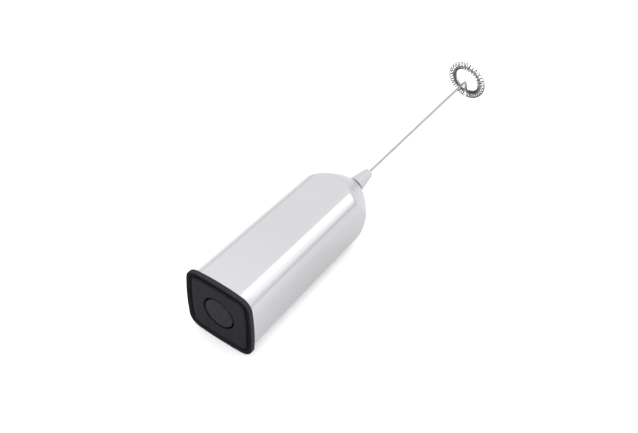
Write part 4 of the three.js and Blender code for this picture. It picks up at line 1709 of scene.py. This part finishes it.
@dataclass
class Studio:
    """The white floor, the sky of soft light, the softboxes and the camera.

    Args:
        sky: The strength of the light from above.
        horizon: The share of the sky's strength that is left at the horizon.
        horizon_band: The sines of the elevations between which the sky brightens.
        tilt: How far the floor rises towards the whisk, in degrees, so that cap and housing both rest on it.
        turn: The camera's bearing round the frother, in degrees.
        elevation: The camera's height over the floor, in degrees.
        roll: The camera's roll, in degrees.
        distance: The camera's distance from its target, in millimetres.
        target: The camera's target in the axis frame.
        lens: The camera's focal length for a 36 mm wide sensor, in millimetres.
    """

    sky: float = 1.74
    horizon: float = 0.74
    horizon_band: tuple[float, float] = (0.08, 0.3)
    tilt: float = 1.7
    turn: float = 38.372
    elevation: float = 46.906
    roll: float = -0.545
    distance: float = 786.516
    target: tuple[float, float, float] = (13.238, 60, 24.749)
    lens: float = 93.56
    softboxes: tuple[Softbox, ...] = (
        Softbox("edge_softbox", 62, 48, 1.6, (0.26, 0.9), 1.35),
        Softbox("edge_fill_softbox", 55, 42, 1.62, (0.5, 1.0), 0.75),
        Softbox("edge_spill_softbox", 49, 38, 1.64, (0.85, 1.1), 1.3),
    )

    def floor(self) -> None:
        """Lays the floor just under the cap's rim and the housing."""
        bm = bmesh.new()
        bmesh.ops.create_grid(bm, x_segments=8, y_segments=8, size=4)
        rest = Matrix.Translation((0, AXIS.face, -0.0002))
        tilted = rest @ Matrix.Rotation(math.radians(self.tilt), 4, "X")
        bmesh.ops.transform(bm, matrix=tilted, verts=bm.verts)
        mesh = bpy.data.meshes.new("studio_floor")
        bm.to_mesh(mesh)
        bm.free()
        mesh.materials.append(PaleFloor().material())
        ground = bpy.data.objects.new("studio_floor", mesh)
        bpy.context.scene.collection.objects.link(ground)

    def light(self) -> None:
        """Sets the sky and hangs the softboxes."""
        sky = Graph(bpy.data.worlds.new("studio_sky"))
        direction = sky.node("TexCoord").outputs["Generated"]
        height = Value(sky, sky.node("SeparateXYZ", {}, {0: direction}).outputs[2])
        low, high = self.horizon_band
        shade = sky.ramp(height, [(low, self.horizon), (high, 1)])
        glow = sky.node("Background", {}, {"Color": shade, "Strength": self.sky})
        sky.node("OutputWorld", {}, {0: glow.outputs[0]})
        bpy.context.scene.world = sky.owner
        aim = AXIS.matrix @ Vector((0, 55, 0))
        for softbox in self.softboxes:
            softbox.build(aim)

    def camera(self) -> None:
        """Sets the camera up at its bearing, elevation, roll and distance."""
        turn, elevation, roll = (math.radians(a) for a in (self.turn, self.elevation, self.roll))
        back = Vector((
            math.sin(turn) * math.cos(elevation),
            -math.cos(turn) * math.cos(elevation),
            math.sin(elevation),
        ))
        right = (-back).cross(Vector((0, 0, 1))).normalized()
        up = right.cross(-back)
        across = right * math.cos(roll) + up * math.sin(roll)
        upward = up * math.cos(roll) - right * math.sin(roll)
        place = AXIS.matrix @ (Vector(self.target) + back * self.distance)
        data = bpy.data.cameras.new("studio_camera")
        data.sensor_fit = "HORIZONTAL"
        data.sensor_width = 36
        data.lens = self.lens
        data.clip_start = 0.05
        data.clip_end = 20
        eye = bpy.data.objects.new("studio_camera", data)
        eye.matrix_world = Matrix.Translation(place) @ Matrix((across, upward, back)).transposed().to_4x4()
        bpy.context.scene.collection.objects.link(eye)
        bpy.context.scene.camera = eye

    def build(self) -> None:
        """Sets the whole studio up."""
        self.floor()
        self.light()
        self.camera()
        bpy.context.scene.view_settings.view_transform = "Standard"


def plain(bounds: Iterable[Iterable[float]]) -> list[list[float]]:
    """A box as plain lists of numbers."""
    return [[float(number) for number in corner] for corner in bounds]


def main() -> None:
    """Builds the frother and its studio."""
    logging.basicConfig(level=logging.INFO, format="%(name)s: %(message)s")
    Studio().build()
    shop = Workshop(frame["nodes"], Finishes())
    housing = Housing()
    for assembly in (housing, EndCap(housing), PushButton(), Battery(), Whisk(), Works()):
        assembly.build(shop)


if __name__ == "__main__":
    main()
